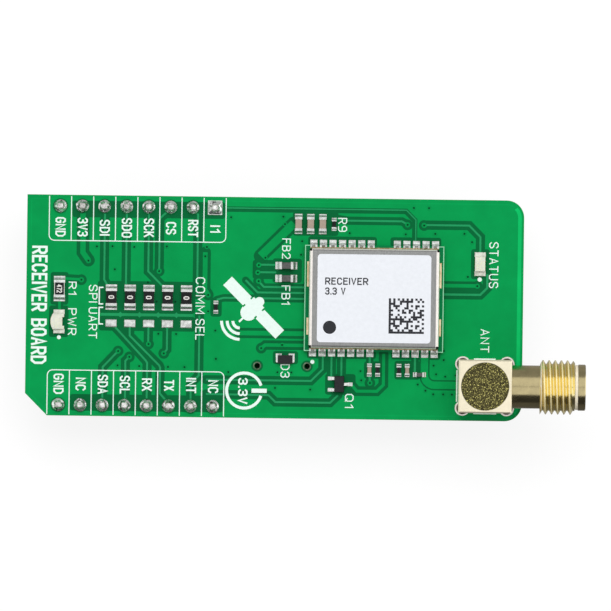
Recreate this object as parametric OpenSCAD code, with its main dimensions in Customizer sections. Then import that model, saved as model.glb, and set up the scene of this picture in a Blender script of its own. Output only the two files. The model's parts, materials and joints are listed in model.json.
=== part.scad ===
// Satellite positioning receiver on a plug-in circuit board, with a right-angle antenna jack.
// Sizes are in millimetres. The origin is the centre of the two header rows, on the plane that the
// header bars rest on. +X points out of the antenna jack and +Z points up, away from the pins.

/* [Board] */
// Length of the board along X
board_l = 57.15; // [54:0.05:68]
// Thickness of the board
board_t = 1.6; // [0.8:0.1:2.4]
// Distance from a header row to the long edge beside it
row_margin = 1.27; // [1.1:0.01:4]
// Distance from the first header pin to the left edge
left_margin = 3.81; // [3:0.01:8]
// Radius of the two corners beside the antenna jack
corner_r = 2; // [0.5:0.1:2.6]
// Leg of the corner cut that shows which way round the board plugs in
corner_cut = 2.54; // [1:0.01:3]
// Thickness of the tinned lands on the board
land_t = 0.05; // [0.03:0.01:0.1]
// Diameter of the two plain holes beside the receiver module
test_hole_d = 0.65; // [0.4:0.05:1]

/* [Headers] */
// Pins in each header row
pin_count = 8; // [6:1:10]
// Distance from pin to pin along a row
pin_pitch = 2.54; // [2:0.01:2.54]
// Distance between the two rows
row_spacing = 22.86; // [20:0.01:28]
// Width of a square pin
pin_w = 0.64; // [0.5:0.01:0.7]
// Length of a pin below the header bar
pin_below = 6; // [3:0.1:12]
// Length of a pin above the board
pin_above = 1.1; // [0.8:0.05:2]
// Chamfer at both ends of a pin
pin_chamfer = 0.16; // [0.05:0.01:0.25]
// Height of the plastic header bar
bar_h = 2.54; // [1.5:0.01:4]
// Width of the plastic header bar across the row
bar_w = 2.5; // [2:0.05:2.6]
// Corner notch between two segments of the bar
bar_notch = 0.45; // [0.2:0.05:0.7]
// Diameter of a header hole in the board
pin_hole_d = 1.02; // [1:0.01:1.2]
// Diameter of the tinned ring around a header hole
pin_land_d = 1.64; // [1.5:0.02:1.9]
// Height of the solder cone around a pin
pin_solder_h = 0.8; // [0.3:0.05:1]

/* [Receiver module] */
// Length of the module along X
module_l = 16; // [14:0.1:18]
// Width of the module along Y
module_w = 12.2; // [10.5:0.1:13.5]
// Distance from the board's centre line to the module's centre
module_offset = 1.2; // [0:0.1:2]
// Distance from the module to the block of the antenna jack
module_gap = 1.8; // [1.4:0.1:4]
// Thickness of the module's own board
substrate_t = 0.9; // [0.6:0.05:1.2]
// Distance between the module's edge contacts
contact_pitch = 1.1; // [0.9:0.05:1.25]
// Width of an edge contact
contact_w = 0.8; // [0.5:0.05:0.85]
// Distance from the module's short edge to its first contact
contact_end = 1; // [0.7:0.05:1.5]
// Diameter of the half holes in the module's long edges
half_hole_d = 0.5; // [0.3:0.05:0.6]
// How far the lands show beyond the module's long edges
contact_reach = 0.6; // [0.3:0.05:0.8]

/* [Shield can] */
// Distance from the module's short edges to the can
can_inset_x = 0.52; // [0.4:0.01:1]
// Distance from the module's long edges to the can
can_inset_y = 0.38; // [0.3:0.01:0.8]
// Height of the can
can_h = 1.45; // [1.2:0.05:3]
// Thickness of the can's sheet
can_sheet = 0.2; // [0.1:0.01:0.25]
// Outer radius of the can's folds
can_fold_r = 0.4; // [0.3:0.05:0.6]
// Size of the open slit at each corner of the can
can_slit = 0.3; // [0.2:0.05:0.5]
// Distance from the can's short sides to the label
label_margin_x = 0.95; // [0.5:0.05:2]
// Distance from the can's long sides to the label
label_margin_y = 0.65; // [0.45:0.05:2]
// Thickness of the label
label_t = 0.08; // [0.05:0.01:0.15]
// Corner radius of the label
label_r = 0.4; // [0.2:0.05:1]

/* [Antenna jack] */
// Distance from the jack's centre to the right-hand edge of the board
jack_inset = 4.3; // [4.2:0.05:6]
// Distance from the jack's centre to the board's long edge
jack_edge = 4; // [4:0.05:8]
// Width of the square block
block_w = 6.1; // [5.8:0.05:6.5]
// Height of the block
block_h = 6.6; // [6.4:0.05:8]
// Bevel along the edges of the block's top
block_bevel = 0.15; // [0.05:0.01:0.3]
// Height of the jack's axis above the block's foot
axis_h = 3.3; // [3:0.05:3.4]
// Width of a square leg
leg_w = 1.02; // [0.8:0.01:1.05]
// Length of the legs below the block
leg_l = 3.6; // [2.5:0.1:4]
// Diameter of the round cap in the block's top
cap_d = 5.5; // [4.8:0.05:5.6]
// Thickness of the cap
cap_t = 0.4; // [0.2:0.05:0.45]
// Diameter of the plain neck of the barrel
neck_d = 4.95; // [4.8:0.05:5.2]
// Length of the neck in front of the block
neck_l = 3.25; // [2:0.05:6]
// Depth of the neck in the block
neck_seat = 0.85; // [0.5:0.05:0.9]
// Outer diameter of the barrel's thread
thread_d = 6.25; // [6.1:0.05:6.35]
// Length of the thread
thread_l = 4.4; // [3:0.05:8]
// Diameter of the plain end in front of the thread
nose_d = 5.3; // [5.2:0.05:5.6]
// Length of the plain end in front of the thread
nose_l = 0.85; // [0.4:0.05:1.5]
// Diameter of the mouth that takes the plug
mouth_d = 4.6; // [4.5:0.01:4.7]
// Depth of the mouth
mouth_l = 1.9; // [1.5:0.05:3]
// Diameter of the white insulators
insulator_d = 4.1; // [3.8:0.05:4.2]
// Outer diameter of the centre contact
contact_d = 1.27; // [1.2:0.01:1.5]
// Diameter of the hole in the centre contact
socket_d = 0.94; // [0.85:0.01:1]
// Depth of the hole in the centre contact
socket_l = 2.6; // [2:0.1:3]
// Width of the slits between the contact's fingers
finger_slit = 0.16; // [0.1:0.01:0.25]
// Diameter of the contact's tail and of the cross hole that it goes through
tail_d = 0.7; // [0.5:0.05:0.8]
// Diameter of the upright signal pin
signal_d = 1.2; // [1.1:0.05:1.3]
// Diameter of the jack's holes in the board
jack_hole_d = 1.5; // [1.49:0.01:1.6]
// Diameter of the tinned rings around the jack's holes
jack_land_d = 1.75; // [1.7:0.05:2.2]
// Radial clearance between round pieces that fit into each other
fit = 0.02; // [0.01:0.01:0.04]

/* [Large chips] */
// Length of a large chip
large_l = 2; // [1.8:0.05:2.2]
// Width of a large chip
large_w = 1.25; // [1.1:0.05:1.4]
// Height of a large resistor
large_h = 0.5; // [0.4:0.05:0.7]
// Length of a large chip's terminal
large_end = 0.3; // [0.25:0.05:0.5]
// How far the land shows beyond the end of a large chip
large_reach = 0.45; // [0.3:0.05:0.55]
// Distance from one selector resistor to the next
selector_pitch = 2.16; // [1.9:0.01:2.4]
// Distance from the selector resistors to their bare lands
selector_step = 3; // [2.9:0.05:3.4]
// Length of a bare selector land
selector_land_l = 0.88; // [0.7:0.01:1]

/* [Medium chips] */
// Length of a medium chip
medium_l = 1.6; // [1.4:0.05:1.8]
// Width of a medium chip
medium_w = 0.8; // [0.7:0.05:0.95]
// Height of a medium chip
medium_h = 0.8; // [0.5:0.05:1]
// Length of a medium chip's terminal
medium_end = 0.28; // [0.2:0.02:0.44]
// How far the land shows beyond the end of a ferrite bead
medium_reach = 0.45; // [0.3:0.05:0.55]
// How far the land shows beyond the end of a supply capacitor
capacitor_reach = 0.35; // [0.3:0.05:0.55]

/* [Small chips] */
// Length of a small chip
small_l = 1; // [0.9:0.05:1.1]
// Width of a small chip
small_w = 0.5; // [0.4:0.05:0.6]
// Height of a small chip
small_h = 0.4; // [0.3:0.05:0.6]
// Length of a small chip's terminal
small_end = 0.16; // [0.12:0.01:0.3]
// How far the land shows beyond the end of a small chip
small_reach = 0.24; // [0.15:0.01:0.3]

/* [Chip details] */
// Thickness of a chip's metal terminal
terminal_t = 0.04; // [0.02:0.01:0.06]
// Thickness of the black glaze on a resistor
glaze_t = 0.04; // [0.02:0.01:0.06]
// How much wider than its chip a land is, on each side
land_side = 0.02; // [0.01:0.01:0.1]

/* [Lamps] */
// Thickness of a lamp's base plate
lamp_base_t = 0.35; // [0.25:0.05:0.5]
// Length of a lamp's terminal
lamp_end = 0.15; // [0.1:0.01:0.3]
// How far the land shows beyond the end of a lamp
lamp_reach = 0.37; // [0.3:0.01:0.55]
// Height of a lamp's lens above its base plate
lens_h = 0.45; // [0.3:0.05:0.8]
// Gap between the status lamp's lens and its terminals
lens_gap = 0.02; // [0.01:0.01:0.1]
// How far the power lamp's lens bulges out sideways
lens_bulge = 0.35; // [0.2:0.05:0.45]
// Depth of the notch in the power lamp's right-hand side
lamp_notch = 0.24; // [0.1:0.02:0.3]

/* [Diode and transistor] */
// Length of the diode's body
diode_l = 1.7; // [1.5:0.05:1.8]
// Width of the diode's body
diode_w = 0.95; // [0.8:0.05:1.1]
// Height of the diode's body
diode_h = 0.6; // [0.4:0.05:0.9]
// Width of the transistor's body along X
transistor_w = 1.15; // [1:0.05:1.3]
// Length of the transistor's body along Y
transistor_l = 1.9; // [1.85:0.05:2.2]
// Height of the transistor's body
transistor_h = 0.85; // [0.7:0.05:1]
// Distance between the transistor's paired leads
lead_pitch = 1.32; // [1.2:0.01:1.4]
// Width of a lead
lead_w = 0.32; // [0.25:0.01:0.4]
// Thickness of a lead
lead_t = 0.13; // [0.1:0.01:0.18]
// How far a lead reaches out of the transistor's body
lead_reach = 0.52; // [0.45:0.01:0.7]

/* [Layout] */
// Height of the power lamp's resistor above the board's centre line
power_resistor_y = 1.9; // [1.8:0.05:4]
// Depth of the power lamp below the board's centre line
power_lamp_y = 1.88; // [1.8:0.02:4]
// Place of the middle selector resistor along the board
selector_x = 1.41; // [0:0.01:2]
// Height of the selector resistors above the board's centre line
selector_y = 1; // [0:0.1:3]
// Distance from the last selector resistor to the small resistor beside it
sense_step = 3.39; // [2.5:0.01:4]
// Distance from the status lamp to the right-hand edge of the board
status_inset = 5; // [3:0.1:6]
// Height of the status lamp above the board's centre line
status_y = 5.33; // [2:0.01:8]
// Distance from the module's short edge to the ferrite beads
bead_gap = 2.13; // [1.9:0.01:2.6]
// Height of the lower bead above the module's centre
bead_rise = 2.2; // [0:0.1:3]
// Distance between the beads
bead_pitch = 1.48; // [1.3:0.01:2]
// Distance from the module's long edge to the supply capacitors and the resistor beside them
capacitor_gap = 2.4; // [2.1:0.05:2.8]
// Distance from the module's short edge to the first supply capacitor
capacitor_start = 0.78; // [0:0.01:1.5]
// Distance between the supply capacitors
capacitor_pitch = 1.39; // [1.2:0.01:1.6]
// Distance from the last supply capacitor to the resistor beside it
pull_up_step = 1.3; // [1.1:0.05:2]
// Distance from the module's long edge to the small chips below it
chip_gap = 2.1; // [1.6:0.05:2.5]
// Distance from the module's long edge to the antenna inductor
inductor_gap = 2.57; // [2:0.01:3]
// Distance from the module's long edge to the diode
diode_gap = 1; // [0.9:0.05:1.4]
// Distance from the module's long edge to the transistor
transistor_gap = 3.78; // [3.5:0.01:4.2]
// Distance from the module's long edge to the plain holes
test_hole_gap = 1.78; // [1.6:0.01:2.2]

/* [Hidden] */
$fn = 48;
// Overlap of a cutting tool past the face that it cuts
cut = 1;

// Levels and edges of the board
board_w = row_spacing + 2 * row_margin;
board_z = bar_h;
top_z = board_z + board_t;
chip_z = top_z + land_t;
pin_span = (pin_count - 1) * pin_pitch;
board_x0 = -pin_span / 2 - left_margin;
board_x1 = board_x0 + board_l;
row_y = row_spacing / 2;

// Antenna jack
jack_x = board_x1 - jack_inset;
jack_y = -board_w / 2 + jack_edge;
axis_z = chip_z + axis_h;
leg_offset = (block_w - leg_w) / 2;
block_x1 = jack_x + block_w / 2;
thread_x = block_x1 + neck_l;
nose_x = thread_x + thread_l;
front_x = nose_x + nose_l;
mouth_x = front_x - mouth_l;
contact_step = 0.3;
insulator_x = jack_x + signal_d / 2 + contact_step;
insulator_play = 0.1;
lower_insulator_h = axis_h - insulator_d / 2 - insulator_play;
thread_chamfer = 0.3;
leg_corners = [for (sx = [-1, 1]) for (sy = [-1, 1]) [jack_x + sx * leg_offset, jack_y + sy * leg_offset]];

// Receiver module
module_x = jack_x - block_w / 2 - module_gap - module_l / 2;
module_y = module_offset;
module_x0 = module_x - module_l / 2;
module_y0 = module_y - module_w / 2;
module_y1 = module_y + module_w / 2;
substrate_z = chip_z + substrate_t;
can_l = module_l - 2 * can_inset_x;
can_w = module_w - 2 * can_inset_y;
can_top = substrate_z + can_h;
left_contacts = 7;
right_contacts = 5;
contact_x = concat(
    [for (k = [0 : left_contacts - 1]) -module_l / 2 + contact_end + k * contact_pitch],
    [for (k = [0 : right_contacts - 1]) module_l / 2 - contact_end - k * contact_pitch]);
// Solder joints at the can's short sides: place along the side, then length
can_joints = [[2.75, 2.9], [-3.25, 1.95]];
can_joint_w = 0.25;
can_joint_h = 0.3;

// Chip kinds: length, width, height, terminal length, land reach
large = [large_l, large_w, large_h, large_end, large_reach];
bead = [medium_l, medium_w, medium_h, medium_end, medium_reach];
capacitor = [medium_l, medium_w, medium_h, medium_end, capacitor_reach];
small = [small_l, small_w, small_h, small_end, small_reach];
lamp = [large_l, large_w, lamp_base_t, lamp_end, lamp_reach];
lamp_window = large_l - 2 * lamp_end;

// Chip places: x, y and turn. The small chips below the module are measured from its centre.
upright = 90;
flat = 0;
power_x = -pin_span / 2;
power_resistor_at = [[power_x, power_resistor_y, upright]];
power_lamp_at = [[power_x, -power_lamp_y, upright]];
status_lamp_at = [[board_x1 - status_inset, status_y, upright]];
selector_at = [for (k = [-2 : 2]) [selector_x + k * selector_pitch, selector_y, upright]];
sense_x = selector_x + 2 * selector_pitch + sense_step;
bead_at = [for (k = [0, 1]) [module_x0 - bead_gap, module_y + bead_rise + k * bead_pitch, flat]];
capacitor_x = [for (k = [0 : 2]) module_x0 - capacitor_start + k * capacitor_pitch];
capacitor_y = module_y1 + capacitor_gap;
supply_capacitor_at = [for (x = capacitor_x) [x, capacitor_y, upright]];
chip_row_y = module_y0 - chip_gap;
small_resistor_at = concat(
    [[capacitor_x[2] + pull_up_step, capacitor_y, upright], [sense_x, 0, upright]],
    [for (dx = [0.52, 2.97]) [module_x + dx, chip_row_y, upright]]);
small_capacitor_at = [for (dx = [-0.43, 3.92]) [module_x + dx, chip_row_y, upright]];
inductor_at = [[module_x + 5.34, module_y0 - inductor_gap, flat]];
diode_at = [module_x0 - bead_gap, module_y0 - diode_gap];
transistor_at = [module_x0 + 4.12, module_y0 - transistor_gap];
test_holes = [for (dx = [-5.33, 0.4]) [module_x0 + dx, module_y0 - test_hole_gap]];
large_places = concat(power_resistor_at, selector_at);
lamp_places = concat(power_lamp_at, status_lamp_at);
small_places = concat(small_resistor_at, small_capacitor_at, inductor_at);

// Solder: how high it climbs a terminal, how much of a contact it covers, and its rim around a pin
climb_share = 0.8;
cover_share = 0.9;
solder_rim = 0.08;
pin_solder_d = pin_w * sqrt(2);
leg_solder_d = leg_w * sqrt(2);
leg_cone_h = 0.9;
leg_ring_h = 0.25;

// Diode: length of a terminal in and beside the body, its width and the height of its foot,
// then the length of a land and its place from the body's centre
diode_inner = diode_l * 0.1;
diode_terminal_w = diode_w * 0.75;
diode_foot_h = diode_h / 2;
diode_land_l = diode_l * 0.4;
diode_land_at = [diode_l * 0.435, diode_w * 0.2];

// Transistor: lift of the body, draft of its sides, height and shape of its leads
body_lift = 0.1;
body_draft = 0.07;
lead_z = transistor_h * 0.45;
lead_knee = lead_reach * 0.3;
lead_heel = lead_reach * 0.42;
lead_land_l = lead_reach * 1.1;
lead_land_w = lead_w * 1.3;
lead_land_x = transistor_w / 2 + lead_reach * 0.85;
// Feet: side, place along the side, and how much farther out the land lies
single_land_shift = lead_reach * 0.45;
transistor_feet = [for (p = [[-1, 0.5, 0], [-1, -0.5, 0], [1, 0, single_land_shift]])
    [transistor_at[0] + p[0] * (lead_land_x + p[2]), transistor_at[1] + p[1] * lead_pitch, p[0]]];

// Pieces inside the can: place from the module's centre, then length, width and height
receiver_place = [0.4, 0];
receiver_size = [5, 5, 0.75];
oscillator_place = [-4.6, 2.4];
oscillator_size = [2.5, 2, 0.8];
crystal_place = [-4.6, -2.6];
crystal_size = [1.5, 3.2, 0.75];
front_end_x = 5.2;
filter_y = -3.2;
filter_size = [1.4, 1.1, 0.5];
amplifier_y = -0.8;
amplifier_size = [1, 1.5, 0.5];
passive_size = [0.3, 0.6, 0.3];
passive_pitch = 0.9;
passive_row_y = receiver_size[1] / 2 + passive_pitch;

// Colours of the finishes
mask_green = [0.01, 0.58, 0.31];
tin = [0.78, 0.79, 0.78];
solder_grey = [0.7, 0.7, 0.68];
gold = [0.83, 0.72, 0.42];
pale_gold = [0.93, 0.88, 0.72];
ceramic_white = [0.93, 0.92, 0.9];
glaze_black = [0.08, 0.08, 0.09];
package_black = [0.12, 0.12, 0.13];
insulator_white = [0.95, 0.95, 0.93];

// Shared shapes

// Points of a hollow solder fillet, from its foot at w to its top at h
function fillet_points(w, h, steps = 4) =
    [for (k = [0 : steps]) [w * (1 - sin(90 * k / steps)), h * (1 - cos(90 * k / steps))]];

// Rectangle with round corners, centred
module round_rect(l, w, r) {
    square([l - 2 * r, w], center = true);
    square([l, w - 2 * r], center = true);
    for (sx = [-1, 1]) for (sy = [-1, 1])
        translate([sx * (l / 2 - r), sy * (w / 2 - r)]) circle(r);
}

// Block standing on z = 0, centred in plan
module block(l, w, h) {
    translate([-l / 2, -w / 2, 0]) cube([l, w, h]);
}

// Children placed on the board's lands at x, y and turn
module on_board(places) {
    for (p = places) translate([p[0], p[1], chip_z]) rotate(p[2]) children();
}

// Children placed at each pin of one header row
module along_row(y) {
    for (k = [0 : pin_count - 1]) translate([-pin_span / 2 + k * pin_pitch, y, 0]) children();
}

// Flat ring land with a hole
module ring_land(d, hole) {
    linear_extrude(land_t) difference() {
        circle(d = d);
        circle(d = hole);
    }
}

// Solder cone around a square pin, standing on z = 0
module solder_cone(foot_d, top_d, h, pin) {
    difference() {
        rotate_extrude() polygon(concat([[0, 0]],
            [for (p = fillet_points((foot_d - top_d) / 2, h)) [top_d / 2 + p[0], p[1]]], [[0, h]]));
        translate([0, 0, -cut]) block(pin, pin, h + 2 * cut);
    }
}

// Chip parts, each lying along X on z = 0

module chip_core(kind) {
    wall = 2 * terminal_t;
    translate([0, 0, terminal_t]) block(kind[0] - wall, kind[1] - wall, kind[2] - wall);
}

module chip_terminals(kind) {
    difference() {
        for (sx = [-1, 1]) translate([sx * (kind[0] - kind[3]) / 2, 0, 0]) block(kind[3], kind[1], kind[2]);
        chip_core(kind);
    }
}

module chip_glaze(kind) {
    translate([0, 0, kind[2] - terminal_t])
        block(kind[0] - 2 * kind[3], kind[1] - 2 * terminal_t, glaze_t);
}

module chip_land_pair(kind) {
    land_l = kind[4] + kind[3] + land_side;
    for (sx = [-1, 1])
        translate([sx * (kind[0] / 2 + kind[4] - land_l / 2), 0, -land_t])
            block(land_l, kind[1] + 2 * land_side, land_t);
}

module chip_fillets(kind) {
    for (a = [0, 180]) rotate(a) translate([kind[0] / 2, kind[1] / 2, 0]) rotate([90, 0, 0])
        linear_extrude(kind[1]) polygon(concat([[0, 0]], fillet_points(kind[4], kind[2] * climb_share)));
}

// Board

module board_outline() {
    difference() {
        translate([board_x0, -board_w / 2]) square([board_l, board_w]);
        translate([board_x0, -board_w / 2]) polygon([
            [-cut, corner_cut + cut],
            [corner_cut + cut, -cut],
            [-cut, -cut]]);
        for (sy = [-1, 1]) translate([board_x1 - corner_r, sy * (board_w / 2 - corner_r)])
            difference() {
                translate([0, sy > 0 ? 0 : -corner_r - cut]) square([corner_r + cut, corner_r + cut]);
                circle(corner_r);
            }
    }
}

module circuit_board() {
    color(mask_green) translate([0, 0, board_z]) linear_extrude(board_t) difference() {
        board_outline();
        for (sy = [-1, 1]) along_row(sy * row_y) circle(d = pin_hole_d);
        for (p = concat(leg_corners, [[jack_x, jack_y]])) translate(p) circle(d = jack_hole_d);
        for (p = test_holes) translate(p) circle(d = test_hole_d);
    }
}

module board_lands() {
    color(tin) {
        translate([0, 0, top_z]) {
            along_row(-row_y) ring_land(pin_land_d, pin_hole_d);
            for (k = [0 : pin_count - 2])
                translate([-pin_span / 2 + k * pin_pitch, row_y, 0]) ring_land(pin_land_d, pin_hole_d);
            // The last hole of the upper row has a square land
            translate([pin_span / 2, row_y, 0]) linear_extrude(land_t) difference() {
                square(pin_land_d, center = true);
                circle(d = pin_hole_d);
            }
            for (p = leg_corners) translate(p) ring_land(jack_land_d, jack_hole_d);
            for (x = contact_x) for (sy = [-1, 1])
                translate([module_x + x, module_y + sy * (module_w / 2 - contact_reach / 2), 0])
                    block(contact_w, 3 * contact_reach, land_t);
            for (sx = [-1, 1])
                translate([diode_at[0] + sx * diode_land_at[0], diode_at[1] + diode_land_at[1], 0])
                    block(diode_land_l, diode_w, land_t);
            for (p = transistor_feet) translate([p[0], p[1], 0]) block(lead_land_l, lead_land_w, land_t);
        }
        for (p = concat(leg_corners, [[jack_x, jack_y]]))
            translate([p[0], p[1], board_z - land_t]) ring_land(jack_land_d, jack_hole_d);
        on_board(large_places) chip_land_pair(large);
        on_board(lamp_places) chip_land_pair(lamp);
        on_board(bead_at) chip_land_pair(bead);
        on_board(supply_capacitor_at) chip_land_pair(capacitor);
        on_board(small_places) chip_land_pair(small);
        // Second position of the selector, left open
        for (p = selector_at) translate([p[0], p[1] - selector_step, top_z])
            block(large_w + 2 * land_side, selector_land_l, land_t);
    }
}

// Headers

module header_bar(y) {
    n = bar_notch;
    half = bar_w / 2;
    color(package_black) difference() {
        along_row(y) linear_extrude(bar_h) polygon([
            [-pin_pitch / 2, -half + n], [-pin_pitch / 2 + n, -half],
            [pin_pitch / 2 - n, -half], [pin_pitch / 2, -half + n],
            [pin_pitch / 2, half - n], [pin_pitch / 2 - n, half],
            [-pin_pitch / 2 + n, half], [-pin_pitch / 2, half - n]]);
        along_row(y) translate([0, 0, -cut]) block(pin_w, pin_w, bar_h + 2 * cut);
    }
}

module header_pins(y) {
    length = pin_below + bar_h + board_t + pin_above;
    half = pin_w / 2;
    c = pin_chamfer;
    color(gold) along_row(y) translate([0, 0, -pin_below]) intersection_for (turn = [0, 90])
        rotate(turn) translate([0, half, 0]) rotate([90, 0, 0]) linear_extrude(pin_w) polygon([
            [-half, c], [-half + c, 0], [half - c, 0], [half, c],
            [half, length - c], [half - c, length], [-half + c, length], [-half, length - c]]);
}

module header_solder(y) {
    color(solder_grey) along_row(y) translate([0, 0, chip_z])
        solder_cone(pin_land_d - solder_rim, pin_solder_d, pin_solder_h, pin_w);
}

module header_bar_upper() { header_bar(row_y); }
module header_bar_lower() { header_bar(-row_y); }
module header_pins_upper() { header_pins(row_y); }
module header_pins_lower() { header_pins(-row_y); }
module header_solder_upper() { header_solder(row_y); }
module header_solder_lower() { header_solder(-row_y); }

// Receiver module

module module_substrate() {
    color([0.02, 0.42, 0.24]) translate([module_x, module_y, chip_z]) linear_extrude(substrate_t)
        difference() {
            square([module_l, module_w], center = true);
            for (x = contact_x) for (sy = [-1, 1]) translate([x, sy * module_w / 2]) circle(d = half_hole_d);
        }
}

module module_solder() {
    climb = substrate_t * climb_share;
    width = contact_w * cover_share;
    color(solder_grey) for (x = contact_x) for (a = [0, 180])
        translate([module_x, module_y, chip_z]) rotate(a)
            translate([x * (a == 0 ? 1 : -1) + width / 2, module_w / 2, 0]) rotate([90, 0, -90])
                linear_extrude(width) polygon(concat([[0, 0]],
                    [for (p = fillet_points(contact_reach - 2 * solder_rim, climb)) [-p[0], p[1]]]));
}

// Folded sheet box without a floor, with its folds rounded; inset makes the inner face
module can_form(inset) {
    l = can_l - 2 * inset;
    w = can_w - 2 * inset;
    h = can_h - inset;
    r = can_fold_r - inset;
    intersection() {
        translate([0, w / 2, 0]) rotate([90, 0, 0]) linear_extrude(w) can_section(l, h, r);
        rotate(90) translate([0, l / 2, 0]) rotate([90, 0, 0]) linear_extrude(l) can_section(w, h, r);
    }
}

// Cross section of the can with two round upper corners
module can_section(l, h, r) {
    translate([-l / 2, 0]) square([l, h - r]);
    translate([-l / 2 + r, 0]) square([l - 2 * r, h]);
    for (sx = [-1, 1]) translate([sx * (l / 2 - r), h - r]) circle(r);
}

module shield_can() {
    color([0.7, 0.7, 0.69]) translate([module_x, module_y, substrate_z]) difference() {
        can_form(0);
        translate([0, 0, -cut]) linear_extrude(cut) square([can_l, can_w], center = true);
        can_form(can_sheet);
        for (sx = [-1, 1]) for (sy = [-1, 1])
            translate([sx * can_l / 2, sy * can_w / 2, -cut])
                block(2 * can_slit, 2 * can_slit, can_h + 2 * cut);
    }
}

module can_solder() {
    color(gold) for (sx = [-1, 1]) for (joint = can_joints)
        translate([module_x + sx * can_l / 2, module_y + joint[0] + sx * joint[1] / 2, substrate_z])
            rotate(sx > 0 ? 0 : 180) rotate([90, 0, 0]) linear_extrude(joint[1])
                polygon(concat([[0, 0]], fillet_points(can_joint_w, can_joint_h)));
}

module module_label() {
    color([0.93, 0.94, 0.95]) translate([module_x, module_y, can_top]) linear_extrude(label_t)
        round_rect(can_l - 2 * label_margin_x, can_w - 2 * label_margin_y, label_r);
}

// Block inside the can, placed from the module's centre
module in_can(place, size) {
    translate([module_x + place[0], module_y + place[1], substrate_z]) block(size[0], size[1], size[2]);
}

module receiver_chip() { color(package_black) in_can(receiver_place, receiver_size); }
module reference_oscillator() { color([0.75, 0.72, 0.6]) in_can(oscillator_place, oscillator_size); }
module clock_crystal() { color([0.8, 0.8, 0.78]) in_can(crystal_place, crystal_size); }
module band_filter() { color(ceramic_white) in_can([front_end_x, filter_y], filter_size); }
module input_amplifier() { color(package_black) in_can([front_end_x, amplifier_y], amplifier_size); }

module module_passives() {
    color([0.62, 0.5, 0.4]) {
        for (k = [-2 : 2]) for (sy = [-1, 1])
            in_can([receiver_place[0] + k * passive_pitch, sy * passive_row_y], passive_size);
        for (k = [1 : 3]) in_can([front_end_x, amplifier_y + (k + 1) * passive_pitch], passive_size);
    }
}

// Antenna jack

// Children turned so that their Z axis runs along the jack's axis, from x = 0
module along_jack() {
    translate([0, jack_y, axis_z]) rotate([0, 90, 0]) children();
}

// Square block with a bevel along the edges of its top
module jack_block() {
    half = block_w / 2;
    b = block_bevel;
    intersection_for (turn = [0, 90]) rotate(turn) translate([0, half, 0]) rotate([90, 0, 0])
        linear_extrude(block_w) polygon([[-half, 0], [half, 0], [half, block_h - b], [half - b, block_h],
            [-half + b, block_h], [-half, block_h - b]]);
}

module jack_body() {
    cavity_h = block_h - cap_t;
    color(pale_gold) difference() {
        union() {
            translate([jack_x, jack_y, chip_z]) jack_block();
            for (p = leg_corners) translate([p[0], p[1], chip_z - leg_l]) block(leg_w, leg_w, leg_l);
        }
        translate([jack_x, jack_y, chip_z - cut]) cylinder(d = insulator_d + 2 * fit, h = cavity_h + cut);
        translate([jack_x, jack_y, chip_z + cavity_h]) cylinder(d = cap_d + 2 * fit, h = cap_t + cut);
        along_jack() {
            translate([0, 0, jack_x]) cylinder(d = insulator_d + 2 * fit, h = block_w / 2 + cut);
            translate([0, 0, block_x1 - neck_seat]) cylinder(d = neck_d + 2 * fit, h = neck_seat + cut);
        }
    }
}

module jack_barrel() {
    color(gold) along_jack() rotate_extrude() polygon([
        [insulator_d / 2 + fit, block_x1 - neck_seat],
        [neck_d / 2, block_x1 - neck_seat],
        [neck_d / 2, thread_x],
        [thread_d / 2 - thread_chamfer, thread_x],
        [thread_d / 2, thread_x + thread_chamfer],
        [thread_d / 2, nose_x - thread_chamfer],
        [nose_d / 2, nose_x],
        [nose_d / 2, front_x],
        [mouth_d / 2, front_x],
        [mouth_d / 2, mouth_x],
        [insulator_d / 2 + fit, mouth_x]]);
}

module jack_cap() {
    color([0.55, 0.5, 0.3]) translate([jack_x, jack_y, chip_z + block_h - cap_t])
        cylinder(d = cap_d, h = cap_t);
}

module jack_insulator() {
    color(insulator_white) along_jack() translate([0, 0, insulator_x]) difference() {
        cylinder(d = insulator_d, h = mouth_x - insulator_x);
        translate([0, 0, -cut]) cylinder(d = contact_d + 2 * fit, h = mouth_x - insulator_x + 2 * cut);
    }
}

module jack_lower_insulator() {
    color(insulator_white) translate([jack_x, jack_y, chip_z]) difference() {
        cylinder(d = insulator_d, h = lower_insulator_h);
        translate([0, 0, -cut]) cylinder(d = signal_d + 2 * fit, h = lower_insulator_h + 2 * cut);
    }
}

module jack_contact() {
    tail_x = jack_x - signal_d / 2;
    color(gold) along_jack() difference() {
        union() {
            translate([0, 0, tail_x]) cylinder(d = tail_d, h = insulator_x - tail_x);
            translate([0, 0, insulator_x]) cylinder(d = contact_d, h = mouth_x - insulator_x);
        }
        translate([0, 0, mouth_x - socket_l]) cylinder(d = socket_d, h = socket_l + cut);
        for (a = [0, 90]) rotate(a) translate([0, 0, mouth_x - socket_l])
            block(finger_slit, contact_d + cut, socket_l + cut);
    }
}

module jack_signal_pin() {
    color(gold) difference() {
        translate([jack_x, jack_y, chip_z - leg_l]) cylinder(d = signal_d, h = leg_l + axis_h + tail_d);
        along_jack() translate([0, 0, jack_x - signal_d]) cylinder(d = tail_d + 2 * fit, h = 2 * signal_d);
    }
}

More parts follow.
